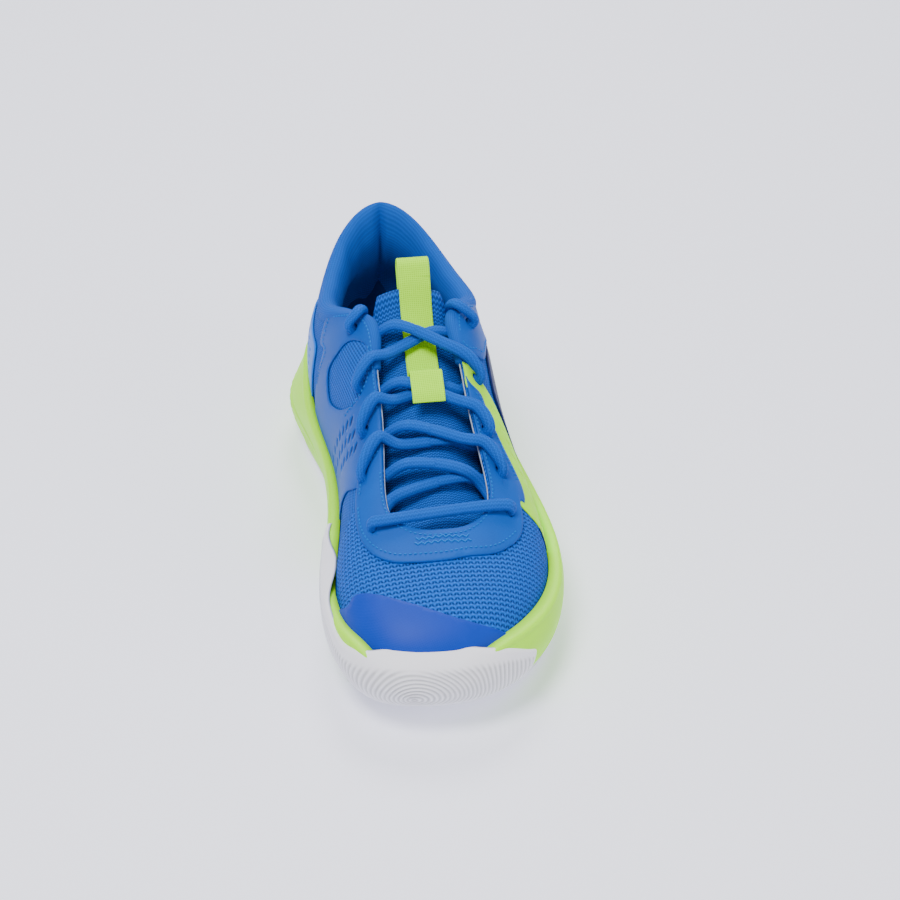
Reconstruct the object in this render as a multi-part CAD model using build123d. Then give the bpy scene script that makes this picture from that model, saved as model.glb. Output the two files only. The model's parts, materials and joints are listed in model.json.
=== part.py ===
from build123d import *
import math
import os

import numpy as np

# A low-cut court shoe for the left foot, in millimetres.
# The toe points to -Y, the outer side of the foot to +X, and the floor is z = 0.
# The origin is on the floor under the middle of the sole.

os.makedirs("parts", exist_ok=True)

# ---------------------------------------------------------------- driving dimensions

MESH = 1.6                # thickness of the knitted upper
MESH_DEPTH = 0.1          # the upper's outer face lies this far inside the styling surface
OVERLAY = 0.9             # thickness of the bonded overlays
GLUE = 0.1                # gap between bonded layers
BACKING = 0.6             # stiffening tape behind the eyelets
LINING = 0.7
FOAM = 8.0                # ankle padding at its thickest
LACE = 4.5                # lace diameter
EYELET = 5.4              # eyelet diameter
WEBBING = 1.2             # thickness of the pull-loop webbing
WEBBING_WIDTH = 15.5
SIDE_GAP = 1.3            # between the styling surface and the rim of the midsole
BOARD = 1.6               # insole board under the sockliner
SOCKLINER = 4.5
RUBBER = 4.6              # outsole under the foot, before its flat tread is cut
BUMPER = 1.2              # rubber wrapped up the toe and the inner side
BUMPER_PROUD = 0.5        # it stands this far off the side of the midsole
SEAM = 0.0004             # gap between neighbouring upper panels, as a share of the girth

# Ribs of the upper, at equal steps round the shoe from the toe tip over the outer side.
# Each is a cubic curve from the foot line to the edge of the opening: how far it leans
# out and rises at the foot, and how far it runs out and drops below the edge.
# (foot line), (edge), lean, rise, run, drop
RIBS = [
    ((-12, -143, 19), (-1, -79, 60), 3, 27, 34, 12),      # toe tip
    ((13, -138, 18), (11, -77, 60), 3, 28, 30, 12),
    ((37, -112, 16), (21, -67, 62), 4, 29, 18, 8),        # little toe
    ((49, -72, 16), (23, -47, 68), 4, 33, 12, 7),         # outer ball
    ((48, -30, 19), (21, -16, 80), 2, 35, 12, 8),
    ((43, 10, 23), (20, 12, 92), 1, 38, 15, 9),           # outer waist
    ((40, 43, 26), (21, 38, 103), 3, 40, 17, 10),
    ((39, 73, 28), (35, 66, 90), 4, 32, 5, 16),           # outer ankle
    ((35, 105, 30), (31, 98, 87), 5, 32, 3, 16),
    ((22, 130, 31), (17, 124, 97), 5, 34, 2, 22),
    ((-5, 141, 31), (-4, 134, 104), 5, 34, 2, 26),        # back of the heel
    ((-32, 130, 31), (-25, 124, 97), 5, 34, 2, 22),
    ((-43, 105, 30), (-37, 98, 87), 5, 32, 2, 16),
    ((-45, 73, 28), (-39, 66, 90), 4, 32, 3, 16),         # inner ankle
    ((-44, 43, 26), (-22, 38, 103), 2, 40, 16, 10),
    ((-41, 10, 23), (-20, 12, 92), 1, 38, 14, 9),         # inner waist
    ((-43, -30, 19), (-21, -16, 80), 2, 35, 14, 8),
    ((-50, -74, 16), (-24, -48, 68), 3, 33, 15, 7),       # inner ball
    ((-49, -114, 16), (-23, -68, 62), 4, 29, 20, 8),      # big toe
    ((-35, -137, 18), (-13, -77, 60), 3, 28, 30, 12),
]

# Widest outline of the sole, at the same steps round the shoe.
SOLE = [
    (-13, -150), (14, -145), (41, -120), (56, -76), (56, -28),
    (49, 20), (45, 60), (43, 95), (36, 122), (20, 143),
    (-5, 151.5), (-31, 143.5), (-49, 122), (-56, 93), (-50, 58),
    (-46, 20), (-49, -24), (-56, -76), (-53, -120), (-38, -143),
]
WIDEST = 22               # height of the widest outline
RIM_LEVEL = 38            # from here up the rim follows the upper
RIM = 3.0                 # thickness of the rim there

# Side view of the sole, as (y, z) from toe to heel.
TREAD_LINE = [
    (-160, 12), (-135, 4.5), (-110, 0.3), (-98, -0.7), (0, -0.8), (120, -0.6), (138, 0.6), (160, 5),
]
RIM_LINE = [(-160, 37), (-125, 35), (-80, 31), (-20, 32), (40, 36), (90, 41), (130, 46), (160, 48)]
BED_LINE = [(-160, 17.5), (-125, 14.5), (-80, 14), (-40, 16), (0, 20), (50, 25), (100, 28), (160, 30)]

# Eyelets, as (share round the shoe, share up from the foot line), outer side then inner side.
EYELETS_OUT = [(0.126, 0.744), (0.160, 0.790), (0.190, 0.850), (0.239, 0.838), (0.292, 0.830)]
EYELETS_IN = [(-0.117, 0.790), (-0.172, 0.735), (-0.205, 0.770), (-0.244, 0.790), (-0.296, 0.850)]

# Tongue, from its seam to its top: (y, z of the crown, half width, fall at the sides).
TONGUE = [
    (-94, 48.5, 16, 1.5),
    (-78, 52.5, 20, 3.5),
    (-60, 59.5, 23, 8),
    (-40, 66.2, 25, 11),
    (-16, 75.8, 26, 13),
    (10, 86.8, 25, 13),
    (28, 95.8, 22, 11),
    (39, 104.5, 18, 7),
    (45, 113.5, 14, 3),
]
TONGUE_FACE = 1.2
TONGUE_FOAM = 4.5
TONGUE_LINING = 0.8


# ---------------------------------------------------------------- curves and surfaces

def ring(values):
    """Smooth closed curve through values that stand at equal steps round the shoe."""
    values = np.asarray(values, float)
    count = len(values)
    matrix = 4 * np.eye(count) + np.roll(np.eye(count), 1, 0) + np.roll(np.eye(count), -1, 0)
    control = np.linalg.solve(matrix, 6 * values)

    def at(u):
        place = (u % 1.0) * count
        first = int(math.floor(place))
        t = place - first
        weights = (
            (1 - t) ** 3 / 6,
            (3 * t ** 3 - 6 * t ** 2 + 4) / 6,
            (-3 * t ** 3 + 3 * t ** 2 + 3 * t + 1) / 6,
            t ** 3 / 6,
        )
        return sum(weights[k] * control[(first - 1 + k) % count] for k in range(4))

    return at


def strip(values):
    """Smooth open curve through values at equal steps, read from 0 to 1."""
    values = np.asarray(values, float)
    if len(values) == 1:
        return lambda t: values[0]
    if len(values) == 2:
        return lambda t: values[0] + (values[1] - values[0]) * t
    first = 2 * values[0] - values[1]
    last = 2 * values[-1] - values[-2]
    padded = np.concatenate([[first], values, [last]])

    def at(t):
        place = min(max(t, 0.0), 1.0) * (len(values) - 1)
        k = min(int(place), len(values) - 2)
        t = place - k
        a, b, c, d = padded[k:k + 4]
        square = a - 2.5 * b + 2 * c - d / 2
        cube = 1.5 * (b - c) + (d - a) / 2
        return b + t * (c - a) / 2 + t * t * square + t ** 3 * cube

    return at


foot_line = ring([rib[0] for rib in RIBS])
edge_line = ring([rib[1] for rib in RIBS])
rib_hands = ring([rib[2:] for rib in RIBS])
sole_line = ring(SOLE)
UP = np.array([0.0, 0.0, 1.0])
STEP = 0.002


def unit(vector):
    return vector / np.linalg.norm(vector)


def outward(line, u):
    """Level direction that points out of a closed line that runs round the shoe."""
    along = line(u + STEP) - line(u - STEP)
    return unit(np.array([-along[1], along[0]])) * -1


def styling(u, v):
    """Point on the styling surface: u round the shoe, v from the foot line to the edge."""
    foot = foot_line(u)
    edge = edge_line(u)
    lean, rise, run, drop = rib_hands(u)
    side = np.append(outward(foot_line, u), 0)
    away = unit((foot - edge) * [1, 1, 0])
    low = foot + side * lean + UP * rise
    high = edge + away * run - UP * drop
    return (1 - v) ** 3 * foot + 3 * (1 - v) ** 2 * v * low + 3 * (1 - v) * v * v * high + v ** 3 * edge


def skin_normal(u, v):
    """Outward normal of the styling surface."""
    round_shoe = styling(u + STEP, v) - styling(u - STEP, v)
    up_shoe = styling(u, v + STEP) - styling(u, v - STEP)
    return unit(np.cross(round_shoe, up_shoe))


def skin(u, v, depth):
    """Point at a depth inside the styling surface, or outside it where depth is negative."""
    return styling(u, v) - skin_normal(u, v) * depth


def solid_between(outer_points, inner_points):
    """Closed solid between two grids of points, with ruled sides."""
    outer = Face.make_surface_from_array_of_points(outer_points, tol=0.01)
    inner = Face.make_surface_from_array_of_points(inner_points, tol=0.01)
    faces = [outer, inner]
    for edge in outer.edges():
        middle = edge.position_at(0.5)
        partner = min(inner.edges(), key=lambda e: (e.position_at(0.5) - middle).length)
        faces.append(Face.make_surface_from_curves(edge, partner))
    solid = Solid(Shell(faces))
    if solid.volume < 0:
        solid = Solid(Shell([-face for face in faces]))
    return solid


def grid(point, columns, rows):
    return [
        [Vector(*point(i / (columns - 1), j / (rows - 1))) for j in range(rows)]
        for i in range(columns)
    ]


def panel(left, right, low, high, outer, inner, rows=9):
    """Panel of the upper. left and right are u from bottom to top, low and high are v
    from left to right, outer and inner are depths, each one value or several."""
    left, right, low, high = [strip(np.atleast_1d(values)) for values in (left, right, low, high)]
    width = abs(right(0.5) - left(0.5))
    columns = max(7, int(width * 110))

    def place(s, t):
        u = left(t) + (right(t) - left(t)) * s
        v = low(s) + (high(s) - low(s)) * t
        return u, v

    def face(depth):
        depth = depth if callable(depth) else strip([depth])
        return grid(lambda s, t: skin(*place(s, t), depth(t)), columns, rows)

    return solid_between(face(outer), face(inner))


def outline(line, inset, height, count=60):
    """Closed level wire that follows a line round the shoe, moved in by inset(point)."""
    points = []
    for k in range(count):
        u = k / count
        place = line(u)[:2]
        place = place - outward(line, u) * inset(place)
        points.append(Vector(place[0], place[1], height))
    return Wire([Edge.make_spline(points, periodic=True)])


def beside_upper(u, height, gap):
    """Level place beside the upper at a height, moved out from it by a gap."""
    shares = np.linspace(0, 0.6, 61)
    heights = [styling(u, v)[2] for v in shares]
    v = float(np.interp(height, heights, shares))
    return styling(u, v)[:2] + outward(foot_line, u) * gap


def upper_at(height, gap, count=60):
    """Closed level wire round the outside of the upper."""
    places = [beside_upper(k / count, height, gap) for k in range(count)]
    return Wire([Edge.make_spline([Vector(x, y, height) for x, y in places], periodic=True)])


def side_slab(lower, upper):
    """Everything between two side-view lines, through the whole width of the shoe."""
    low_points = [(0, y, z) for y, z in lower]
    high_points = [(0, y, z) for y, z in upper]
    low_edge = Edge.make_spline([Vector(*p) for p in low_points])
    high_edge = Edge.make_spline([Vector(*p) for p in high_points])
    front = Edge.make_line(low_points[0], high_points[0])
    back = Edge.make_line(low_points[-1], high_points[-1])
    face = Face(Wire([low_edge, back, high_edge, front]))
    slab = Solid.extrude(face, Vector(160, 0, 0))
    return slab.moved(Location((-80, 0, 0)))


def raised(rows, by):
    return [(y, z + by) for y, z in rows]


def save(shape, name):
    shape.label = name
    export_step(shape, f"parts/{name}.step")
    return shape


# ---------------------------------------------------------------- sole unit

def ground_inset(place):
    """The sole tapers in towards the floor, and more so under the toe."""
    toe = min(max((-place[1] - 100) / 50, 0), 1)
    return 6 + 9 * toe


sole_blank = Solid.make_loft([
    outline(sole_line, ground_inset, -2),
    outline(sole_line, lambda place: 0.55 * ground_inset(place), 9),
    outline(sole_line, lambda place: 0, WIDEST),
    upper_at(RIM_LEVEL, SIDE_GAP + RIM),
    upper_at(RIM_LEVEL + 16, SIDE_GAP + RIM),
])
sole_blank &= Pos(0, 0, 100) * Box(200, 400, 200)
sole_unit = sole_blank & side_slab(TREAD_LINE, RIM_LINE)
foot_volume = Solid.make_loft([upper_at(height, SIDE_GAP) for height in (12, 20, 26, 32, 38, 46, 56)])
foot_pocket = foot_volume & side_slab(BED_LINE, raised(RIM_LINE, 30))
outsole_plate = sole_blank & side_slab(TREAD_LINE, raised(TREAD_LINE, RUBBER))


SECTION_HEIGHTS = (-2, 9, WIDEST, RIM_LEVEL, RIM_LEVEL + 16)


def sole_side(u, height, proud):
    """Point on the side wall of the sole, or standing proud of it."""
    widest = sole_line(u)[:2]
    side = outward(sole_line, u)
    inset = ground_inset(widest)
    sections = [
        widest - side * inset,
        widest - side * 0.55 * inset,
        widest,
        beside_upper(u, RIM_LEVEL, SIDE_GAP + RIM),
        beside_upper(u, RIM_LEVEL + 16, SIDE_GAP + RIM),
    ]
    level = side * proud
    for k, place in enumerate(sections):
        others = [h for h in SECTION_HEIGHTS if h != SECTION_HEIGHTS[k]]
        weight = math.prod((height - h) / (SECTION_HEIGHTS[k] - h) for h in others)
        level = level + place * weight
    return np.array([level[0], level[1], height])


BUMPER_FROM = -0.195
BUMPER_TO = 0.078
BUMPER_LOW = strip((5.2, 5.2, 6.5, 10.5, 12.5, 11.5))
BUMPER_HIGH = strip((24, 27, 29.5, 33, 34.5, 34))


def bumper_face(proud):
    """Face of the rubber that climbs from the tread round the toe and the inner side."""
    def at(s, t):
        u = BUMPER_FROM + (BUMPER_TO - BUMPER_FROM) * s
        return sole_side(u, BUMPER_LOW(s) + (BUMPER_HIGH(s) - BUMPER_LOW(s)) * t, proud)
    return grid(at, 30, 7)


toe_bumper = solid_between(bumper_face(BUMPER_PROUD + BUMPER), bumper_face(BUMPER_PROUD))

midsole = sole_unit - outsole_plate - foot_pocket
midsole = max(midsole.solids(), key=lambda solid: solid.volume)

# Flex grooves across the forefoot and a ring for turning on the ball of the foot.
GROOVE = 1.8
for y in (-112, -78, -52, -30, 60, 84, 108):
    arc = RadiusArc((-70, y), (70, y), 220)
    outsole_plate -= extrude(offset(Wire([arc]), GROOVE / 2), GROOVE, dir=(0, 0, 1))
pivot = Pos(-14, -66, 0) * (Cylinder(16, 2 * GROOVE) - Cylinder(16 - GROOVE, 2 * GROOVE))
outsole_plate -= pivot

# The shank lies in a pocket in the top of the midsole, under the waist.
SHANK_FROM = -22
SHANK_TO = 62
SHANK_WIDTH = 26
SHANK = 1.5
shank_plan = Pos(-2, (SHANK_FROM + SHANK_TO) / 2, 0) * extrude(
    RectangleRounded(SHANK_WIDTH, SHANK_TO - SHANK_FROM, 8), 80)
shank_plate = shank_plan & side_slab(raised(BED_LINE, -SHANK - GLUE), raised(BED_LINE, -GLUE))
shank_pocket_plan = Pos(-2, (SHANK_FROM + SHANK_TO) / 2, 0) * extrude(
    RectangleRounded(SHANK_WIDTH + 0.4, SHANK_TO - SHANK_FROM + 0.4, 8.2), 80)
midsole -= shank_pocket_plan & side_slab(raised(BED_LINE, -SHANK - 2 * GLUE), raised(BED_LINE, 2))

save(midsole, "midsole")
save(outsole_plate, "outsole")
save(toe_bumper, "toe_bumper")
save(shank_plate, "shank_plate")


# ---------------------------------------------------------------- inside the shoe

def foot_plate(inset, bottom, thickness):
    """Plate on the bed of the midsole, inside the foot line."""
    plan = extrude(Face(outline(foot_line, lambda place: inset, 0)), 80)
    return plan & side_slab(raised(BED_LINE, bottom), raised(BED_LINE, bottom + thickness))


BOARD_INSET = 2.2
SOCKLINER_INSET = 4.6
BOARD_GAP = 0.3
BOARD_TOP = BOARD_GAP + BOARD
insole_board = foot_plate(BOARD_INSET, BOARD_GAP, BOARD)
sockliner = foot_plate(SOCKLINER_INSET, BOARD_TOP + 0.3, SOCKLINER)
save(insole_board, "insole_board")
save(sockliner, "sockliner")

# ---------------------------------------------------------------- upper

UPPER_FROM = 0.03         # the upper starts just above the foot line
UPPER_TO = 0.985
FRONT_SEAM = 0.16         # side seams between the vamp and the quarters
COLLAR_FROM = 0.33        # the padded collar runs round the heel from here
mesh_out = MESH_DEPTH
mesh_in = MESH_DEPTH + MESH
over_in = 0.0
over_out = -OVERLAY
stack_in = mesh_in + GLUE

vamp_mesh = panel(SEAM - FRONT_SEAM, FRONT_SEAM - SEAM, UPPER_FROM, UPPER_TO, mesh_out, mesh_in)
outer_quarter = panel(FRONT_SEAM + SEAM, 0.5 - SEAM, UPPER_FROM, UPPER_TO, mesh_out, mesh_in)
inner_quarter = panel(SEAM - 0.5, -FRONT_SEAM - SEAM, UPPER_FROM, UPPER_TO, mesh_out, mesh_in)

toe_overlay = panel(-0.122, 0.086, 0.05, (0.12, 0.46, 0.56, 0.55, 0.50, 0.40, 0.10), over_out, over_in)
eyestay = panel(
    -0.164, (0.164, 0.200, 0.226),
    (0.64, 0.60, 0.64, 0.74, 0.80, 0.815, 0.80, 0.72, 0.60, 0.56, 0.56), 0.98, over_out, over_in)
inner_overlay = panel(
    (-0.300, -0.320, -0.332), (-0.215, -0.180, -0.166), 0.05, 0.98, over_out, over_in)
outer_wing = panel(
    (0.152, 0.156, 0.176, 0.222, 0.229), (0.196, 0.208, 0.232, 0.238, 0.246), 0.05, 0.98,
    over_out, over_in)
outer_side_panel = panel(
    (0.206, 0.218, 0.240), (0.340, 0.330, 0.318), 0.05, (0.60, 0.58, 0.56, 0.50), over_out, over_in)
outer_collar_patch = panel(
    (0.262, 0.250), (0.338, 0.342), (0.66, 0.60, 0.58), 0.98, over_out, over_in)
inner_heel_panel = panel(
    (-0.480, -0.478), (-0.306, -0.338), 0.05, (0.40, 0.50, 0.55), over_out, over_in)
outer_heel_panel = panel(
    (0.345, 0.340), (0.480, 0.478), 0.05, (0.55, 0.50, 0.40), over_out, over_in)
heel_strip = panel(0.484, 0.516, 0.05, 0.90, over_out, over_in)

eyelet_backing = panel(
    -0.325, 0.325, (0.72, 0.66, 0.62, 0.80, 0.62, 0.66, 0.72), 0.99, stack_in, stack_in + BACKING)
toe_puff = panel(-0.105, 0.098, 0.06, (0.30, 0.45, 0.48, 0.45, 0.30), stack_in, stack_in + 0.9)
heel_counter = panel(
    0.352, 0.648, 0.06, (0.30, 0.50, 0.56, 0.50, 0.30), stack_in, stack_in + 1.4)

vamp_lining_out = stack_in + 1.1
vamp_lining = panel(
    -COLLAR_FROM + 0.001, COLLAR_FROM - 0.001, 0.10, (0.70, 0.64, 0.60, 0.76, 0.60, 0.64, 0.70),
    vamp_lining_out, vamp_lining_out + LINING)

PAD_FROM = 0.60
PAD_TO = 1.05
collar_bulge = strip((0.6, 0.85, 1.0, 0.95, 0.75, 0.35))


def pad_depth(t):
    return stack_in + FOAM * collar_bulge(t)


def collar_lining_outer(t):
    return pad_depth(t) + GLUE


def collar_lining_inner(t):
    return pad_depth(t) + GLUE + LINING


collar_padding = panel(COLLAR_FROM, 1 - COLLAR_FROM, PAD_FROM, PAD_TO, stack_in, pad_depth)
collar_lining = panel(
    COLLAR_FROM, 1 - COLLAR_FROM, PAD_FROM, PAD_TO, collar_lining_outer, collar_lining_inner)
heel_lining_out = stack_in + 1.6
heel_lining = panel(
    COLLAR_FROM, 1 - COLLAR_FROM, 0.10, PAD_FROM - 0.005, heel_lining_out, heel_lining_out + LINING)


def eyelet_drill(u, v):
    """Cylinder that stands across the layers of the upper at an eyelet."""
    centre = styling(u, v)
    normal = skin_normal(u, v)
    plane = Plane(origin=tuple(centre), z_dir=tuple(normal))
    return plane * Cylinder(EYELET / 2, 14)


drills = [eyelet_drill(u, v) for u, v in EYELETS_OUT + EYELETS_IN]


def drilled(solid):
    for drill in drills:
        solid = solid - drill
    return solid


save(drilled(vamp_mesh), "vamp_mesh")
save(drilled(outer_quarter), "outer_quarter_mesh")
save(drilled(inner_quarter), "inner_quarter_mesh")
save(toe_overlay, "toe_overlay")
save(drilled(eyestay), "eyestay")
save(drilled(inner_overlay), "inner_overlay")
save(drilled(outer_wing), "outer_wing_overlay")
save(outer_side_panel, "outer_side_panel")
save(drilled(outer_collar_patch), "outer_collar_patch")
save(inner_heel_panel, "inner_heel_panel")
save(outer_heel_panel, "outer_heel_panel")
save(heel_strip, "heel_strip")
save(drilled(eyelet_backing), "eyelet_backing")
save(toe_puff, "toe_puff")
save(heel_counter, "heel_counter")
save(vamp_lining, "vamp_lining")
save(heel_lining, "heel_lining")
save(collar_padding, "collar_padding")
save(collar_lining, "collar_lining")


# ---------------------------------------------------------------- tongue

tongue_rows = strip(TONGUE)


def tongue_point(s, t):
    y, crown, half_width, fall = tongue_rows(t)
    return np.array([s * half_width, y, crown - fall * s * s])


def tongue_face_point(s, t, depth):
    across = tongue_point(s + STEP, t) - tongue_point(s - STEP, t)
    t_low = max(t - STEP, 0)
    t_high = min(t + STEP, 1)
    along = tongue_point(s, t_high) - tongue_point(s, t_low)
    return tongue_point(s, t) - unit(np.cross(across, along)) * depth


def tongue_layer(outer, thickness):
    def face(depth):
        return grid(lambda s, t: tongue_face_point(2 * s - 1, t, depth), 13, 21)
    return solid_between(face(outer), face(outer + thickness))


tongue_face = tongue_layer(0, TONGUE_FACE)
tongue_padding = tongue_layer(TONGUE_FACE + GLUE, TONGUE_FOAM)
tongue_lining = tongue_layer(TONGUE_FACE + TONGUE_FOAM + 2 * GLUE, TONGUE_LINING)
save(tongue_face, "tongue_face")
save(tongue_padding, "tongue_padding")
save(tongue_lining, "tongue_lining")


tongue_shares = [k / 200 for k in range(201)]
tongue_places = [tongue_point(0, t) for t in tongue_shares]


def tongue_height(y):
    """Height of the crown of the tongue along the shoe."""
    return float(np.interp(y, [p[1] for p in tongue_places], [p[2] for p in tongue_places]))


# ---------------------------------------------------------------- lace

OVER = -(OVERLAY + LACE / 2 + 0.5)                    # depth of a lace that lies on the eyestay
UNDER = stack_in + BACKING + LACE / 2 + 0.4           # depth of a lace that runs behind it
CROWN_GAP = 3.0                                       # the webbing runs between lace and tongue
PLATEAU = 0.25                                        # share of a run that is level over the crown
LIFT = LACE + 0.4                                     # one lace over another


def eyelet_point(side, row, depth):
    u, v = (EYELETS_OUT if side > 0 else EYELETS_IN)[row]
    return skin(u, v, depth)


def edge_point(side, row, along, depth):
    """Point over or behind the throat edge, a little way round from an eyelet."""
    u, v = (EYELETS_OUT if side > 0 else EYELETS_IN)[row]
    return skin(u + side * along, 0.965, depth)


def crossing(start, finish, lift):
    """Two points that carry a lace over the crown of the tongue."""
    points = []
    for share in (0.5 - PLATEAU, 0.5 + PLATEAU):
        place = start + (finish - start) * share
        place[2] = tongue_height(place[1]) + LACE / 2 + CROWN_GAP + lift
        points.append(place)
    return points


def strand(side, lifts):
    """Half of the lace, from its first eyelet to the end tucked into the collar."""
    points = [eyelet_point(side, 0, OVER), eyelet_point(side, 0, UNDER)]
    behind = edge_point(side, 0, 0.014, UNDER + 0.5)
    for row in range(1, 5):
        arrival = edge_point(-side, row, -0.012, UNDER + 0.5)
        points += [behind] + crossing(behind, arrival, lifts[row - 1]) + [arrival]
        side = -side
        points += [eyelet_point(side, row, UNDER), eyelet_point(side, row, OVER)]
        behind = edge_point(side, row, 0.010, OVER - 0.8)
    u, v = (EYELETS_OUT if side > 0 else EYELETS_IN)[-1]
    points += [skin(u + side * 0.006, 0.985, OVER - 0.8), skin(u + side * 0.016, 1.07, -0.5)]
    points += [skin(u + side * 0.025, 0.99, 8.5), skin(u + side * 0.022, 0.80, 13.0)]
    return points


outer_strand = strand(1, (LIFT, 0, LIFT, 0))
inner_strand = strand(-1, (0, LIFT, 0, LIFT))
bar_start = edge_point(1, 0, -0.03, OVER)
bar_end = edge_point(-1, 0, -0.03, OVER)
lace_route = outer_strand[::-1] + [bar_start, bar_end] + inner_strand


def corner_radii(route):
    """Largest arc that each corner of a route has room for."""
    radii = []
    for before, here, after in zip(route, route[1:], route[2:]):
        turn = math.radians(Vector(*(here - before)).get_angle(Vector(*(after - here))))
        shorter = min(np.linalg.norm(here - before), np.linalg.norm(after - here))
        radii.append(0.45 * shorter / math.tan(turn / 2))
    return radii


def tube(route, diameter):
    path = FilletPolyline(*[Vector(*p) for p in route], radius=corner_radii(route))
    start = Plane(origin=path @ 0, z_dir=path % 0)
    body = sweep(start * Circle(diameter / 2), path=path)
    expected = math.pi * diameter ** 2 / 4 * path.length
    print(f"tube length {path.length:.1f}, volume {body.volume:.0f}, expected {expected:.0f}")
    return body


lace = tube(lace_route, LACE)
save(lace, "lace")

AGLET = 16.0
AGLET_WIDTH = 3.4


def aglet(end, before):
    """Hard tip on the end of the lace."""
    away = unit(end - before)
    plane = Plane(origin=tuple(end + away * AGLET / 2), z_dir=tuple(away))
    return plane * Cylinder(AGLET_WIDTH / 2, AGLET)


aglets = Compound([
    aglet(lace_route[0], lace_route[1]),
    aglet(lace_route[-1], lace_route[-2]),
])
save(aglets, "aglets")


# ---------------------------------------------------------------- tongue webbing and pull loop

WEBBING_GAP = 0.3
KEEPER_CENTRE = -8.5      # where the webbing arches over a lace crossing
KEEPER_LEVEL = 8.0
KEEPER_FALL = 8.0
WEBBING_FROM = KEEPER_CENTRE - KEEPER_LEVEL      # the end lies over the crossing
WEBBING_TO = 43.5
arch_height = CROWN_GAP + LACE + LIFT + WEBBING_GAP


def arch(y):
    """Height of the webbing above the tongue."""
    away = (abs(y - KEEPER_CENTRE) - KEEPER_LEVEL) / KEEPER_FALL
    ramp = min(max(away, 0), 1)
    return WEBBING_GAP + (arch_height - WEBBING_GAP) * (1 - ramp * ramp * (3 - 2 * ramp))


def webbing_middle(y):
    """The webbing runs a little askew."""
    return float(np.interp(y, (WEBBING_FROM, WEBBING_TO), (1.6, 2.8)))


def webbing_grid(lift):
    def at(s, t):
        y = WEBBING_FROM + (WEBBING_TO - WEBBING_FROM) * t
        x = webbing_middle(y) + WEBBING_WIDTH * (s - 0.5)
        share = x / float(np.interp(y, [row[0] for row in TONGUE], [row[2] for row in TONGUE]))
        fall = float(np.interp(y, [row[0] for row in TONGUE], [row[3] for row in TONGUE]))
        flat = (arch(y) - WEBBING_GAP) / (arch_height - WEBBING_GAP)
        return (x, y, tongue_height(y) - fall * share * share * (1 - flat) + arch(y) + lift)
    return grid(at, 7, 45)


tongue_webbing = solid_between(webbing_grid(WEBBING), webbing_grid(0))
save(tongue_webbing, "tongue_webbing")

# The free loop, in a side view whose first axis runs up the end of the tongue.
tongue_end = Plane(
    origin=(webbing_middle(WEBBING_TO), TONGUE[-1][0], TONGUE[-1][1]),
    x_dir=(0, TONGUE[-1][0] - TONGUE[-2][0], TONGUE[-1][1] - TONGUE[-2][1]),
    z_dir=(1, 0, 0))
LOOP_START = 3.5
LOOP_TOP = 14.0
loop_front = WEBBING_GAP + WEBBING / 2
loop_back = -(TONGUE_FACE + TONGUE_FOAM + TONGUE_LINING + 2 * GLUE + WEBBING_GAP + WEBBING / 2)
loop_path = FilletPolyline(
    (LOOP_START, loop_front), (LOOP_TOP, loop_front), (LOOP_TOP, loop_back), (LOOP_START, loop_back),
    radius=0.48 * (loop_front - loop_back))
loop_path = tongue_end * loop_path
loop_section = Plane(origin=loop_path @ 0, z_dir=loop_path % 0, x_dir=(1, 0, 0))
pull_loop = sweep(loop_section * Rectangle(WEBBING_WIDTH, WEBBING), path=loop_path)
save(pull_loop, "pull_loop")
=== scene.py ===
import json
import math

import bpy
import numpy as np
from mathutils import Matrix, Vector
from mathutils.geometry import delaunay_2d_cdt

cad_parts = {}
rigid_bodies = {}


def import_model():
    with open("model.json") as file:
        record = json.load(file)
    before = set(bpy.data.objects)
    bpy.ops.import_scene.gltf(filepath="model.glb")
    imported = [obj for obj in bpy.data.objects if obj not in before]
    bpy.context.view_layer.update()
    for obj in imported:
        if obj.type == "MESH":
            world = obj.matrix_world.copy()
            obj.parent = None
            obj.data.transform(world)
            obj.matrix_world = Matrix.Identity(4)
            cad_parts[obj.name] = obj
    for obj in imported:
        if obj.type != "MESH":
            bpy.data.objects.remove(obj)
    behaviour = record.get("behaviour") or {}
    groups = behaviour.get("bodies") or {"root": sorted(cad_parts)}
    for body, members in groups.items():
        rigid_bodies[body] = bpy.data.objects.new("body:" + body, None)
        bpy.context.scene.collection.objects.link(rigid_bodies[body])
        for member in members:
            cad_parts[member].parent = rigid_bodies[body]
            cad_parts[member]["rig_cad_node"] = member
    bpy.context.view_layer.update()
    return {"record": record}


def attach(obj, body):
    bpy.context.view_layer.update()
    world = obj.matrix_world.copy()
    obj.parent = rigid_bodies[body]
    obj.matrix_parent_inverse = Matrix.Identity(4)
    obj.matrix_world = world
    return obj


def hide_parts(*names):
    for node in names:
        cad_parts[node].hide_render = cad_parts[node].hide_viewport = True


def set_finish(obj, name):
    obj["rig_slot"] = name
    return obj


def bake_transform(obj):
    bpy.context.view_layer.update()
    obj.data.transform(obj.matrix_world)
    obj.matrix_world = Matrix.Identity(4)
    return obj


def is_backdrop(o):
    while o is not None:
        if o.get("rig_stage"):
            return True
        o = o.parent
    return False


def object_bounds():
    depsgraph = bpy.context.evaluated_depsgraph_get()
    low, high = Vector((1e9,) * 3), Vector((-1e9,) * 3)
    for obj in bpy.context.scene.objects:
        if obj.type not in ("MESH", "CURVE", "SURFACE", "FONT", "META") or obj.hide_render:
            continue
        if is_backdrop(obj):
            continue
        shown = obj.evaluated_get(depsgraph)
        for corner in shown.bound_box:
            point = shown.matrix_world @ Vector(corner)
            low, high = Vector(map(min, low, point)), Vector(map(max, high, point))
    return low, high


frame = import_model()

# A court shoe. Shapes are worked out in millimetres, toe to -Y, and made in metres.
MM = 0.001

# ---------------------------------------------------------------- styling surface

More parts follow.
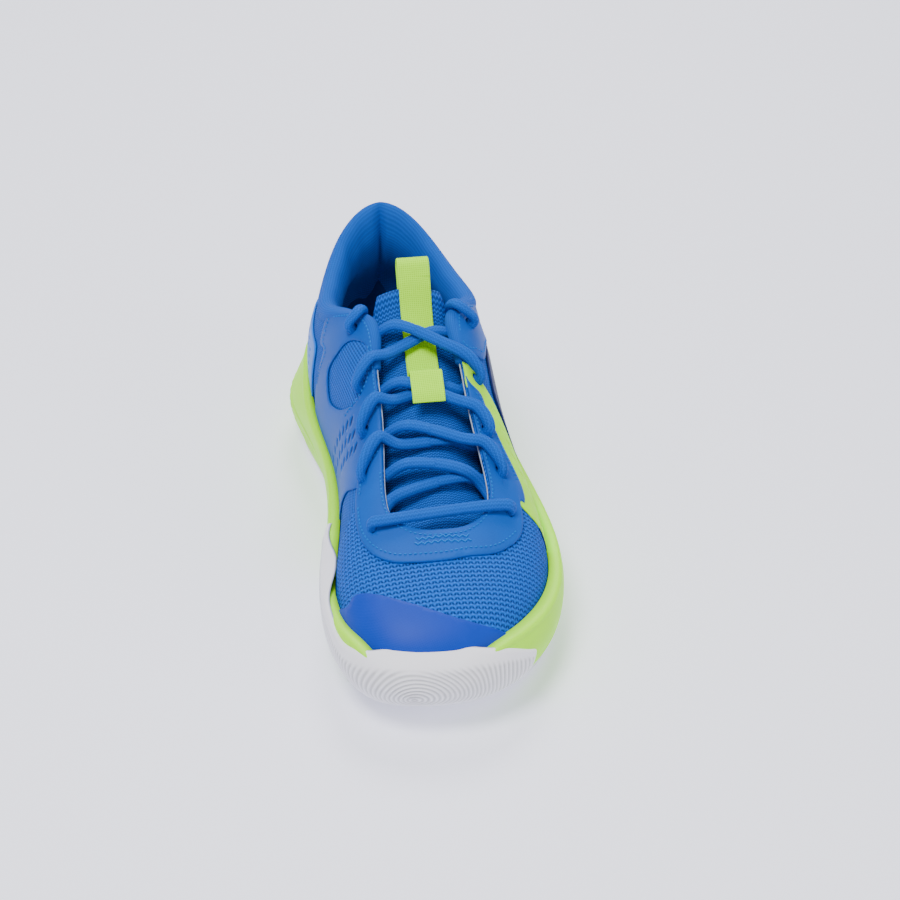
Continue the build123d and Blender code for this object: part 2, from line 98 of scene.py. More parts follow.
# Ribs of the upper, as in the CAD source: a point on the foot line, a point on the edge, and how far
# the rib leans out and rises from the first, and runs out and drops from the second.
RIBS = [
    ((-12, -143, 19), (-1, -79, 60), 3, 27, 34, 12),
    ((13, -138, 18), (11, -77, 60), 3, 28, 30, 12),
    ((37, -112, 16), (21, -67, 62), 4, 29, 18, 8),
    ((49, -72, 16), (23, -47, 68), 4, 33, 12, 7),
    ((48, -30, 19), (21, -16, 80), 2, 35, 12, 8),
    ((43, 10, 23), (20, 12, 92), 1, 38, 15, 9),
    ((40, 43, 26), (21, 38, 103), 3, 40, 17, 10),
    ((39, 73, 28), (35, 66, 90), 4, 32, 5, 16),
    ((35, 105, 30), (31, 98, 87), 5, 32, 3, 16),
    ((22, 130, 31), (17, 124, 97), 5, 34, 2, 22),
    ((-5, 141, 31), (-4, 134, 104), 5, 34, 2, 26),
    ((-32, 130, 31), (-25, 124, 97), 5, 34, 2, 22),
    ((-43, 105, 30), (-37, 98, 87), 5, 32, 2, 16),
    ((-45, 73, 28), (-39, 66, 90), 4, 32, 3, 16),
    ((-44, 43, 26), (-22, 38, 103), 2, 40, 16, 10),
    ((-41, 10, 23), (-20, 12, 92), 1, 38, 14, 9),
    ((-43, -30, 19), (-21, -16, 80), 2, 35, 14, 8),
    ((-50, -74, 16), (-24, -48, 68), 3, 33, 15, 7),
    ((-49, -114, 16), (-23, -68, 62), 4, 29, 20, 8),
    ((-35, -137, 18), (-13, -77, 60), 3, 28, 30, 12),
]
SOLE = [
    (-13, -150), (14, -145), (41, -120), (56, -76), (56, -28),
    (49, 20), (45, 60), (43, 95), (36, 122), (20, 143),
    (-5, 151.5), (-31, 143.5), (-49, 122), (-56, 93), (-50, 58),
    (-46, 20), (-49, -24), (-56, -76), (-53, -120), (-38, -143),
]
STEP = 0.002


def ring(values):
    """Smooth closed curve through values at equal steps round the shoe."""
    values = np.asarray(values, float)
    count = len(values)
    matrix = 4 * np.eye(count) + np.roll(np.eye(count), 1, 0) + np.roll(np.eye(count), -1, 0)
    control = np.linalg.solve(matrix, 6 * values)

    def at(u):
        place = (np.asarray(u, float) % 1.0) * count
        first = np.floor(place).astype(int)
        t = (place - first)[..., None]
        weights = (
            (1 - t) ** 3 / 6,
            (3 * t ** 3 - 6 * t ** 2 + 4) / 6,
            (-3 * t ** 3 + 3 * t ** 2 + 3 * t + 1) / 6,
            t ** 3 / 6,
        )
        return sum(weights[k] * control[(first - 1 + k) % count] for k in range(4))

    return at


def curve(points, closed=False):
    """Smooth curve through points, read from 0 to 1. A doubled point is a corner."""
    points = np.asarray(points, float)
    if closed:
        padded = np.concatenate([points[-1:], points, points[:2]])
        spans = len(points)
    else:
        padded = np.concatenate([2 * points[:1] - points[1:2], points, 2 * points[-1:] - points[-2:-1]])
        spans = len(points) - 1

    def at(t):
        place = np.clip(np.asarray(t, float), 0, 1) * spans
        k = np.minimum(place.astype(int), spans - 1)
        t = place - k
        if padded.ndim > 1:
            t = t[..., None]
        a, b, c, d = (padded[k + i] for i in range(4))
        bend = t * t * (a - 2.5 * b + 2 * c - d / 2)
        return b + t * (c - a) / 2 + bend + t ** 3 * (1.5 * (b - c) + (d - a) / 2)

    return at


foot_line = ring([rib[0] for rib in RIBS])
edge_line = ring([rib[1] for rib in RIBS])
rib_hands = ring([rib[2:] for rib in RIBS])
sole_line = ring(SOLE)


def unit(v):
    """Directions made one long."""
    return v / np.maximum(np.linalg.norm(v, axis=-1, keepdims=True), 1e-9)


def lengths_along(places):
    """Length from the first place to each of them, along the second last axis."""
    steps = np.linalg.norm(np.diff(places, axis=-2), axis=-1)
    return np.concatenate([np.zeros(steps.shape[:-1] + (1,)), np.cumsum(steps, -1)], -1)


def outward(line, u):
    """Level direction out of a closed line."""
    along = line(np.asarray(u) + STEP) - line(np.asarray(u) - STEP)
    return unit(np.stack([along[..., 1], -along[..., 0]], -1))


def styling(u, v):
    """Places on the styling surface: u is the share of the way round, v runs from foot line to edge."""
    u, v = np.broadcast_arrays(np.asarray(u, float), np.asarray(v, float))
    foot, edge, hands = foot_line(u), edge_line(u), rib_hands(u)
    side = outward(foot_line, u)
    side = np.concatenate([side, 0 * side[..., :1]], -1)
    away = unit((foot - edge) * [1, 1, 0])
    up = np.array([0, 0, 1.0])
    low = foot + side * hands[..., 0:1] + up * hands[..., 1:2]
    high = edge + away * hands[..., 2:3] - up * hands[..., 3:4]
    t = v[..., None]
    return (1 - t) ** 3 * foot + 3 * (1 - t) ** 2 * t * low + 3 * (1 - t) * t * t * high + t ** 3 * edge


def skin_normal(u, v):
    """Direction out of the styling surface."""
    u, v = np.broadcast_arrays(np.asarray(u, float), np.asarray(v, float))
    round_shoe = styling(u + STEP, v) - styling(u - STEP, v)
    up_shoe = styling(u, v + STEP) - styling(u, v - STEP)
    return unit(np.cross(round_shoe, up_shoe))


def skin(u, v, depth):
    """Places at a depth behind the styling surface; a negative depth stands out from it."""
    return styling(u, v) - skin_normal(u, v) * np.asarray(depth, float)[..., None]


# ---------------------------------------------------------------- meshes

def make_mesh(name, points, faces, uvs=None, body="shoe"):
    """Mesh object from points in millimetres. uvs, one for each point, is also in millimetres."""
    mesh = bpy.data.meshes.new(name)
    mesh.from_pydata((np.asarray(points).reshape(-1, 3) * MM).tolist(), [], faces)
    mesh.update()
    if uvs is not None:
        layer = mesh.uv_layers.new(name="Millimetres")
        loops = np.empty(len(mesh.loops), dtype=np.int32)
        mesh.loops.foreach_get("vertex_index", loops)
        layer.data.foreach_set("uv", np.asarray(uvs, dtype=np.float32).reshape(-1, 2)[loops].ravel())
    mesh.polygons.foreach_set("use_smooth", [True] * len(mesh.polygons))
    piece = bpy.data.objects.new(name, mesh)
    bpy.context.scene.collection.objects.link(piece)
    if body:
        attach(piece, body)
    return piece


def grid_faces(rows, columns, start=0, wrap_columns=False, flip=False):
    """Faces of a grid of points, rows by columns, which may close round on itself."""
    faces = []
    for i in range(rows - 1):
        for j in range(columns if wrap_columns else columns - 1):
            a = start + i * columns + j
            b = start + (i + 1) * columns + j
            c = start + (i + 1) * columns + (j + 1) % columns
            d = start + i * columns + (j + 1) % columns
            faces.append((a, d, c, b) if flip else (a, b, c, d))
    return faces


def shell(name, outer, inner, uvs, body="shoe"):
    """Closed piece between two grids of points."""
    rows, columns = outer.shape[:2]
    size = rows * columns
    faces = grid_faces(rows, columns)
    faces += grid_faces(rows, columns, size, flip=True)
    border = [(i, 0) for i in range(rows)]
    border += [(rows - 1, j) for j in range(1, columns)]
    border += [(i, columns - 1) for i in range(rows - 2, -1, -1)]
    border += [(0, j) for j in range(columns - 2, 0, -1)]
    index = [i * columns + j for i, j in border]
    for a, b in zip(index, index[1:] + index[:1]):
        faces.append((b, a, a + size, b + size))
    points = np.concatenate([outer.reshape(-1, 3), inner.reshape(-1, 3)])
    uvs = np.concatenate([uvs.reshape(-1, 2)] * 2)
    return make_mesh(name, points, faces, uvs, body)


def surface_uv(u, v):
    """Millimetres round the shoe and up it, for weaves."""
    u, v = np.broadcast_arrays(u, v)
    steps = np.linspace(-0.7, 0.7, 1401)
    girth = styling(steps, 0.45 + 0 * steps)
    top, spans = 1.2, 60
    climbs = lengths_along(styling(u[..., None], np.linspace(0, top, spans + 1)))
    place = np.clip(v, 0, top) / top * spans
    low = np.minimum(place.astype(int), spans - 1)
    share = place - low
    up = np.take_along_axis(climbs, low[..., None], -1)[..., 0] * (1 - share)
    up = up + np.take_along_axis(climbs, low[..., None] + 1, -1)[..., 0] * share
    return np.stack([np.interp(u, steps, lengths_along(girth)), up], -1)


def crest_uv(points):
    """Millimetres across the shoe from its crest, and along it, for the weave of the forefoot."""
    x, y, z = points[..., 0], points[..., 1], points[..., 2]
    crest = np.interp(y, (-145, -140, -120, -100, -80, -40, 0), (20, 38, 48, 54, 60, 74, 92))
    across = x * (1 + 0.9 * np.maximum(crest - z, 0) ** 2 / (60 + x * x))
    return np.stack([across, y * 1.06 + 0.35 * z], -1)


def panel_grid(left, right, low, high, columns, rows):
    """Grid of (u, v) over a rectangle of the upper."""
    s = np.linspace(0, 1, columns)[:, None]
    t = np.linspace(0, 1, rows)[None, :]
    return left + (right - left) * s + 0 * t, low + (high - low) * t + 0 * s


def spread(points, gap):
    """Closed loop with a point about every gap millimetres; points has shape (n, 2) in (u, v)."""
    count = 40 * len(points)
    t = np.arange(count) / count
    dense = curve(points, closed=True)(t)
    place = styling(dense[:, 0], dense[:, 1])
    runs = np.linalg.norm(np.roll(place, -1, 0) - place, axis=1)
    along = np.concatenate([[0], np.cumsum(runs)])
    steps = np.linspace(0, along[-1], max(8, int(along[-1] / gap)), endpoint=False)
    keep = np.unique(np.searchsorted(along, steps, side="left") % count)
    return dense[keep]


def scales(u, v):
    """Millimetres for each unit of u and of v."""
    du = np.linalg.norm(styling(u + STEP, v) - styling(u - STEP, v), axis=-1) / (2 * STEP)
    dv = np.linalg.norm(styling(u, v + STEP) - styling(u, v - STEP), axis=-1) / (2 * STEP)
    return np.stack([du, dv], -1)


def moved_in(loop, by):
    """Loop moved towards its own left side by millimetres."""
    scale = scales(loop[:, 0], loop[:, 1])
    along = (np.roll(loop, -1, 0) - np.roll(loop, 1, 0)) * scale
    along = unit(along)
    return loop + np.stack([-along[:, 1], along[:, 0]], -1) * by / scale


def turned(loop, anticlockwise=True):
    """Loop in the wanted turning direction."""
    area = np.sum(loop[:, 0] * np.roll(loop[:, 1], -1) - np.roll(loop[:, 0], -1) * loop[:, 1])
    return loop if (area > 0) == anticlockwise else loop[::-1]


def inside(points, loop):
    """Which points lie inside a loop."""
    x, y = points[:, 0:1], points[:, 1:2]
    x1, y1 = loop[:, 0], loop[:, 1]
    x2, y2 = np.roll(x1, -1), np.roll(y1, -1)
    crosses = (y1 > y) != (y2 > y)
    slope = np.where(y2 == y1, 1, y2 - y1)
    return (np.sum(crosses & (x < (x2 - x1) * (y - y1) / slope + x1), axis=1) % 2) == 1


def oval(u, v, width, height, tilt=0.0, count=16):
    """Small loop round a place on the upper, in millimetres, tilted in degrees."""
    scale = scales(np.array([u]), np.array([v]))[0]
    angle = np.arange(count) / count * math.tau
    x, y = np.cos(angle) * width / 2, np.sin(angle) * height / 2
    c, s = math.cos(math.radians(tilt)), math.sin(math.radians(tilt))
    return np.stack([u + (x * c - y * s) / scale[0], v + (x * s + y * c) / scale[1]], -1)


SHEET_EDGE, SHEET_LIFT = 0.45, 0.05


def overlay(name, outline, slot, holes=(), thickness=0.9, gap=2.2, weave=surface_uv):
    """Sheet bonded on the upper, with rounded edges, cut from an outline with holes."""
    loops = [turned(spread(np.array(outline, float), gap))]
    loops += [turned(np.array(hole), anticlockwise=False) for hole in holes]
    rims = [moved_in(loop, SHEET_EDGE if k == 0 else 0.3) for k, loop in enumerate(loops)]
    low, high = loops[0].min(0), loops[0].max(0)
    scale = scales(*loops[0].mean(0)[:, None])[0]
    us = np.arange(low[0], high[0], gap / scale[0])
    vs = np.arange(low[1], high[1], gap / scale[1])
    fill = np.stack(np.meshgrid(us, vs, indexing="ij"), -1).reshape(-1, 2)
    keep = inside(fill, moved_in(loops[0], 1.2))
    for loop in loops[1:]:
        keep &= ~inside(fill, moved_in(loop, 0.9))
    fill = fill[keep]
    stretch = scale / scale.max()
    points, edges = [], []
    for loop in loops + rims:
        start = len(points)
        points += list(loop * stretch)
        edges += [(start + k, start + (k + 1) % len(loop)) for k in range(len(loop))]
    points += list(fill * stretch)
    found = delaunay_2d_cdt([Vector(p) for p in points], edges, [], 0, 1e-7)
    flat = np.array([tuple(p) for p in found[0]]) / stretch
    tris = np.array([face for face in found[2] if len(face) == 3])
    middles = flat[tris].mean(1)
    keep = inside(middles, loops[0])
    for loop in loops[1:]:
        keep &= ~inside(middles, loop)
    tris = tris[keep]
    border_count = sum(len(loop) for loop in loops)
    on_border = np.zeros(len(flat), bool)
    for index, sources in enumerate(found[3]):
        if sources and min(sources) < border_count:
            on_border[index] = True
    used = np.unique(tris)
    renumber = -np.ones(len(flat), int)
    renumber[used] = np.arange(len(used))
    flat, tris, on_border = flat[used], renumber[tris], on_border[used]
    depth = np.where(on_border, -thickness * 0.55, -thickness) - SHEET_LIFT
    top = skin(flat[:, 0], flat[:, 1], depth)
    foot = skin(flat[:, 0], flat[:, 1], np.full(len(flat), 0.02))
    directed = dict.fromkeys(side for a, b, c in tris for side in ((a, b), (b, c), (c, a)))
    count = len(flat)
    faces = [tuple(t) for t in tris] + [tuple(t[::-1] + count) for t in tris]
    faces += [(b, a, a + count, b + count) for a, b in directed if (b, a) not in directed]
    uvs = weave(top) if weave is crest_uv else weave(flat[:, 0], flat[:, 1])
    piece = make_mesh(name, np.concatenate([top, foot]), faces, np.concatenate([uvs, uvs]))
    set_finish(piece, slot)
    return piece


def line_points(points, gap):
    """Points every gap millimetres along a smooth open line in (u, v)."""
    t = np.linspace(0, 1, 60 * len(points))
    dense = curve(points)(t)
    place = styling(dense[:, 0], dense[:, 1])
    along = lengths_along(place)
    steps = np.arange(gap / 2, along[-1], gap)
    return np.stack([np.interp(steps, along, dense[:, i]) for i in range(2)], -1)


THREAD_WIDTH = 0.85


def stitches(name, lines, slot, height=1.0, length=1.4, gap=2.3, zigzag=0.0):
    """Rows of raised stitches along lines in (u, v)."""
    points, faces = [], []
    section = [(math.cos(k * math.tau / 6), math.sin(k * math.tau / 6)) for k in range(6)]
    stations = ((-0.5, 0.25), (-0.3, 0.9), (0, 1), (0.3, 0.9), (0.5, 0.25))
    for line in lines:
        places = line_points(line, gap)
        ahead = styling(places[:, 0], places[:, 1])
        tangent = unit(np.gradient(ahead, axis=0))
        normal = skin_normal(places[:, 0], places[:, 1])
        across = np.cross(normal, tangent)
        for k in range(len(places)):
            swing = zigzag * (1 if k % 2 else -1)
            direction = unit(tangent[k] + across[k] * swing)
            beside = np.cross(normal[k], direction)
            centre = ahead[k] + normal[k] * height
            start = len(points)
            for shift, size in stations:
                for c, s in section:
                    points.append(centre + direction * shift * length
                                  + (beside * c + normal[k] * s * 0.7) * size * THREAD_WIDTH / 2)
            faces += grid_faces(5, 6, start, wrap_columns=True)
            faces += [tuple(start + i for i in range(6))[::-1], tuple(start + 24 + i for i in range(6))]
    piece = make_mesh(name, np.array(points), faces)
    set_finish(piece, slot)
    return piece


def resampled(points, gap):
    """Smooth path through points with a point every gap millimetres."""
    dense = curve(points)(np.linspace(0, 1, 50 * len(points)))
    along = lengths_along(dense)
    steps = np.linspace(0, along[-1], max(4, int(along[-1] / gap)))
    return np.stack([np.interp(steps, along, dense[:, i]) for i in range(3)], -1)


# ---------------------------------------------------------------- knitted upper

KNIT_X, KNIT_Y = 3.0, 2.7         # repeat of the forefoot knit
RIB_X, RIB_Y = 1.9, 1.7           # repeat of the side knit
KNIT_FACE, KNIT_BACK = 0.4, 1.7   # depths of its two faces
KNIT_LOW, KNIT_HIGH = 0.02, 0.985


def chunky_knit(uv):
    """Height of the forefoot knit: leaning ribs that swap direction from column to column."""
    across, along = uv[..., 0] / KNIT_X, uv[..., 1] / KNIT_Y
    zigzag = np.abs(2 * (across - np.floor(across)) - 1)
    rib = 0.5 + 0.5 * np.cos(math.tau * (along + 0.5 * zigzag))
    return 0.45 * np.sqrt(rib) - 0.12


def ribbed_knit(uv):
    """Height of the side knit: fine ribs up the shoe with staggered stitches."""
    across, along = uv[..., 0] / RIB_X, uv[..., 1] / RIB_Y
    odd = np.floor(across) % 2
    rib = 0.5 + 0.5 * np.cos(math.tau * (across - 0.5))
    bead = 0.5 + 0.5 * np.cos(math.tau * (along + 0.5 * odd))
    return 0.24 * rib * (0.45 + 0.55 * bead) - 0.05


def knit_panel(name, left, right, columns, rows, weave, relief):
    """Knitted sheet of the upper, with its stitches raised in the mesh."""
    u, v = panel_grid(left, right, KNIT_LOW, KNIT_HIGH, columns, rows)
    base = skin(u, v, 0 * u + KNIT_FACE)
    uvs = weave(base) if weave is crest_uv else weave(u, v)
    top = skin(u, v, KNIT_FACE - relief(uvs))
    piece = shell(name, top, skin(u, v, 0 * u + KNIT_BACK), uvs)
    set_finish(piece, "vamp_knit" if weave is crest_uv else "quarter_knit")
    return piece


fine = 1
vamp = knit_panel("vamp", -0.16, 0.16, 420 // fine, 260 // fine, crest_uv, chunky_knit)
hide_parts("vamp_mesh")
for quarter, front, rear in (("outer_quarter", 0.1604, 0.4998), ("inner_quarter", -0.4998, -0.1604)):
    panel = knit_panel(quarter, front, rear, 460 // fine, 170 // fine, surface_uv, ribbed_knit)
    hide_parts(quarter + "_mesh")

# ---------------------------------------------------------------- bonded overlays

EYELETS_OUT = [(0.126, 0.744), (0.160, 0.790), (0.190, 0.850), (0.239, 0.838), (0.292, 0.830)]
EYELETS_IN = [(-0.117, 0.790), (-0.172, 0.735), (-0.205, 0.770), (-0.244, 0.790), (-0.296, 0.850)]
EYELET = 5.4


def eyelets(places):
    """Round holes for the lace."""
    return [oval(u, v, EYELET, EYELET) for u, v in places]


def between(first, last, steps):
    """Evenly spaced places from first to last."""
    first, last = np.array(first, float), np.array(last, float)
    return [tuple(first + (last - first) * k / (steps - 1)) for k in range(steps)]


# Outlines of the sheets are in (u, v) of the styling surface.
TOE_EDGE = [
    (-0.128, 0.10), (-0.120, 0.20), (-0.105, 0.319), (-0.100, 0.419), (-0.080, 0.519), (-0.054, 0.569),
    (-0.020, 0.556), (0.024, 0.456), (0.052, 0.338), (0.071, 0.194), (0.086, 0.04),
]
toe = overlay(
    "toe_cap", TOE_EDGE + [(0.086, 0.02)] + between((0.07, 0.02), (-0.12, 0.02), 8) + [(-0.129, 0.02)],
    "toe_film", gap=2.6, weave=crest_uv)
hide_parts("toe_overlay")

STAY_EDGE = [
    (0.228, 0.93), (0.225, 0.819), (0.211, 0.763), (0.193, 0.669), (0.176, 0.562), (0.167, 0.525),
    (0.155, 0.535), (0.150, 0.60), (0.134, 0.581), (0.115, 0.606), (0.089, 0.688), (0.046, 0.812),
    (0.001, 0.819), (-0.041, 0.80), (-0.073, 0.744), (-0.105, 0.675), (-0.131, 0.625), (-0.149, 0.60),
    (-0.170, 0.62), (-0.185, 0.70), (-0.190, 0.84),
]
throat = between((-0.190, 0.985), (0.232, 0.985), 44)
stay = overlay(
    "facing", [(-0.190, 0.985)] + throat + [(0.232, 0.985)] + STAY_EDGE, "facing",
    holes=eyelets(EYELETS_OUT[:3] + EYELETS_IN[:2]), thickness=1.15, gap=2.4)
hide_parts("eyestay")

INNER_FRONT = [(-0.163, 0.88), (-0.172, 0.631), (-0.189, 0.419), (-0.200, 0.20), (-0.203, 0.04)]
INNER_REAR = [(-0.328, 0.06), (-0.321, 0.52), (-0.338, 0.62), (-0.345, 0.80)]
WINDOW = [
    (-0.297, 0.45), (-0.293, 0.606), (-0.288, 0.763), (-0.270, 0.915), (-0.252, 0.89), (-0.240, 0.83),
    (-0.238, 0.69), (-0.247, 0.54), (-0.262, 0.41), (-0.282, 0.34),
]
inner_holes = [
    oval(
        -0.205 - 0.0125 * column - 0.004 * row, 0.62 - 0.075 * row - 0.01 * column,
        2.5, 4.4 - 0.15 * row, 28)
    for column in range(3) for row in range(7) if not (column == 0 and row > 4)
]
inner = overlay(
    "inner_side", [(-0.165, 0.985)] * 2 + INNER_FRONT + [(-0.203, 0.02)] * 2
    + between((-0.215, 0.02), (-0.318, 0.02), 7) + [(-0.33, 0.02)] * 2 + INNER_REAR + [(-0.345, 0.985)] * 2
    + between((-0.335, 0.985), (-0.175, 0.985), 16),
    "inner_film", holes=inner_holes + eyelets(EYELETS_IN[2:]) + [spread(WINDOW, 2.0)], thickness=0.7)
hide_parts("inner_overlay")
# Dark sheet under the perforations of the inner side: painted shade that shows through the holes.
overlay(
    "inner_perforation_film",
    [(-0.196, 0.66), (-0.204, 0.40), (-0.206, 0.08), (-0.246, 0.06), (-0.246, 0.40), (-0.236, 0.64)],
    "side_film", thickness=0.32)

wing_holes = [
    oval(u, v, 0.9, 4.2, -14)
    for u, v in between((0.164, 0.30), (0.196, 0.50), 5) + between((0.172, 0.16), (0.205, 0.34), 4)
    + between((0.206, 0.52), (0.224, 0.66), 3)
]
WING_FRONT = [(0.150, 0.62), (0.150, 0.488), (0.155, 0.338), (0.156, 0.20), (0.152, 0.05)]
WING_REAR = [(0.200, 0.15), (0.209, 0.344), (0.225, 0.50), (0.234, 0.62), (0.240, 0.75), (0.244, 0.85)]
wing = overlay(
    "outer_wing", [(0.152, 0.02)] * 2 + [(0.174, 0.02)] + [(0.196, 0.02)] * 2 + WING_REAR
    + [(0.250, 0.985)] * 2 + [(0.236, 0.985), (0.222, 0.985)] + [(0.20, 0.80), (0.175, 0.68)] + WING_FRONT,
    "wing_film", holes=wing_holes + eyelets(EYELETS_OUT[3:4]), thickness=0.6)
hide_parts("outer_wing_overlay")
# Dark sheet under the perforations of the outer wing: painted shade that shows through the holes.
overlay(
    "wing_perforation_film", [(0.158, 0.40), (0.160, 0.10), (0.190, 0.12), (0.203, 0.33), (0.222, 0.64),
    (0.205, 0.64)], "side_film", thickness=0.32)

side = overlay(
    "outer_side", [(0.206, 0.02)] * 2 + [(0.215, 0.30), (0.235, 0.48), (0.250, 0.58), (0.300, 0.56),
    (0.335, 0.50), (0.345, 0.30)] + [(0.345, 0.02)] * 2 + between((0.33, 0.02), (0.22, 0.02), 8),
    "side_film", thickness=0.8)
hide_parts("outer_side_panel")

collar_patch = overlay(
    "outer_collar_patch",
    [(0.262, 0.985)] * 2 + [(0.258, 0.90), (0.262, 0.80), (0.269, 0.66), (0.290, 0.58), (0.310, 0.52)]
    + [(0.335, 0.55), (0.345, 0.75)] + [(0.345, 0.985)] * 2
    + between((0.33, 0.985), (0.275, 0.985), 5),
    "collar_film", holes=eyelets(EYELETS_OUT[4:]), thickness=1.0)
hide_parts("outer_collar_patch")


def heel_panel(name, sign, node):
    """Perforated sheet round one side of the heel."""
    low = [(0.347, 0.02)] * 2 + between((0.36, 0.02), (0.465, 0.02), 9) + [(0.479, 0.02)] * 2
    rim = [(0.478, 0.40), (0.440, 0.50), (0.400, 0.56), (0.350, 0.56)]
    holes = [
        oval(sign * (0.366 + 0.0135 * column), 0.15 + 0.075 * row + 0.035 * (column % 2), 2.6, 1.6)
        for column in range(8) for row in range(5) if 0.15 + 0.075 * row < 0.50 - 0.02 * max(column - 4, 0)
    ]
    outline = [(sign * u, v) for u, v in low + rim]
    piece = overlay(name, outline, "heel_film", holes=holes, thickness=0.8)
    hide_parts(node)


heel_panel("outer_heel", 1, "outer_heel_panel")
heel_panel("inner_heel", -1, "inner_heel_panel")
strip = overlay(
    "heel_strip",
    [(0.486, 0.02), (0.514, 0.02), (0.516, 0.05), (0.516, 0.30), (0.514, 0.60), (0.510, 0.86), (0.5, 0.90),
     (0.490, 0.86), (0.486, 0.60), (0.484, 0.30), (0.484, 0.05)],
    "strip_film", thickness=1.0)
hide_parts("heel_strip")

# Pale cut edge of the backing, seen along the throat.
backing_u, backing_v = panel_grid(-0.262, 0.262, 0.955, 0.992, 260, 6)
backing = shell(
    "throat_backing", skin(backing_u, backing_v, 0 * backing_u + 1.72),
    skin(backing_u, backing_v, 0 * backing_u + 2.5), surface_uv(backing_u, backing_v))
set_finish(backing, "backing")
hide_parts("eyelet_backing")

# ---------------------------------------------------------------- stitching


toe_of_stay = [
    (0.115, 0.655), (0.089, 0.735), (0.046, 0.855), (0.001, 0.862), (-0.041, 0.845), (-0.073, 0.79),
    (-0.105, 0.72), (-0.131, 0.668), (-0.152, 0.65),
]
stitches("facing_stitches", [
    toe_of_stay,
    [(0.222, 0.90), (0.218, 0.83), (0.205, 0.77), (0.187, 0.675), (0.170, 0.575)],
    between((-0.158, 0.955), (-0.02, 0.955), 12) + between((0.0, 0.955), (0.215, 0.955), 16),
    [(-0.176, 0.95), (-0.176, 0.85), (-0.172, 0.72), (-0.160, 0.665)],
], "facing", height=1.38)
stitches("bar_tack", [
    [(-0.045, 0.90), (-0.02, 0.915), (0.0, 0.92), (0.02, 0.915), (0.045, 0.90)],
    [(-0.045, 0.925), (-0.02, 0.94), (0.0, 0.945), (0.02, 0.94), (0.045, 0.925)],
], "facing", height=1.38, length=2.6, gap=1.5, zigzag=0.9)
stitches("side_stitches", [
    [(-0.340, 0.95), (-0.338, 0.80), (-0.331, 0.64), (-0.315, 0.53), (-0.321, 0.30)],
    [(-0.270, 0.935), (-0.245, 0.90), (-0.238, 0.74), (-0.243, 0.52)],
    [(-0.210, 0.955), (-0.26, 0.96), (-0.335, 0.955)],
], "inner_film", height=0.85)
stitches("outer_stitches", [
    [(0.267, 0.95), (0.264, 0.88), (0.268, 0.80), (0.275, 0.67), (0.294, 0.60), (0.313, 0.545),
     (0.332, 0.575)],
    [(0.275, 0.95), (0.335, 0.95)],
], "collar_film", height=1.12)

# ---------------------------------------------------------------- sole

# The side wall passes through a section at each height; the lines give heights along the shoe.
SIDE_GAP, RIM_LEVEL, RIM, WIDEST, RUBBER = 1.3, 38, 3.0, 22, 4.0
SECTIONS = (-2, 9, WIDEST, RIM_LEVEL, RIM_LEVEL + 16)
TREAD_LINE = [(-160, 12), (-135, 4.5), (-110, 0.6), (-98, 0), (0, 0), (120, 0), (138, 0.8), (160, 5)]
RIM_LINE = [(-160, 37), (-125, 35), (-80, 31), (-20, 32), (40, 36), (90, 41), (130, 46), (160, 48)]
BED_LINE = [(-160, 17.5), (-125, 14.5), (-80, 14), (-40, 16), (0, 20), (50, 25), (100, 28), (160, 30)]


def side_line(rows):
    """Smooth height along the shoe."""
    rows = np.array(rows, float)
    dense = curve(rows)(np.linspace(0, 1, 400))
    return lambda y: np.interp(y, dense[:, 0], dense[:, 1])


tread, rim, bed = side_line(TREAD_LINE), side_line(RIM_LINE), side_line(BED_LINE)


def beside_upper(u, height, gap):
    """Places, seen from above, beside the upper at a height, moved out from it by a gap."""
    shares = np.linspace(0, 0.6, 61)
    heights = styling(u[:, None], shares[None, :])[..., 2]
    v = np.array([np.interp(height, row, shares) for row in heights])
    return styling(u, v)[:, :2] + outward(foot_line, u) * gap


def side_sections(u):
    """Direction out of the sole, and its side wall at each of the heights in SECTIONS."""
    widest = sole_line(u)[:, :2]
    side = outward(sole_line, u)
    inset = 6 + 9 * np.clip((-widest[:, 1:2] - 100) / 50, 0, 1)
    return side, [
        widest - side * inset,
        widest - side * 0.55 * inset,
        widest,
        beside_upper(u, RIM_LEVEL, SIDE_GAP + RIM),
        beside_upper(u, RIM_LEVEL + 16, SIDE_GAP + RIM),
    ]


def sole_side(u, height, proud):
    """Side wall of the sole. u has n values, height and proud have shape (n, m)."""
    side, sections = side_sections(u)
    level = side[:, None, :] * proud[..., None]
    for k, place in enumerate(sections):
        weight = np.ones_like(height)
        for j, other in enumerate(SECTIONS):
            if j != k:
                weight = weight * (height - other) / (SECTIONS[k] - other)
        level = level + place[:, None, :] * weight[..., None]
    return np.concatenate([level, height[..., None]], -1)


AROUND = 900 // fine
around = np.arange(AROUND) / AROUND
top_level = rim(sole_line(around)[:, 1])
for _ in range(4):
    top_level = rim(sole_side(around, top_level[:, None], 0 * top_level[:, None])[:, 0, 1])
low_level = tread(sole_line(around)[:, 1]) + RUBBER


def wrapped(u):
    """1 where the white rubber closes over the rim, beside the big toe and over the tip, else 0."""
    u = (u + 0.5) % 1.0 - 0.5
    side = np.clip((u + 0.196) / 0.03, 0, 1) * np.clip((-0.112 - u) / 0.05, 0, 1)
    tip = np.clip((u + 0.095) / 0.055, 0, 1) * np.clip((0.070 - u) / 0.055, 0, 1)
    share = np.clip(side + tip, 0, 1)
    return share * share * (3 - 2 * share)


rubber_top = top_level
top_level = top_level - 5.5 * wrapped(around) ** 2

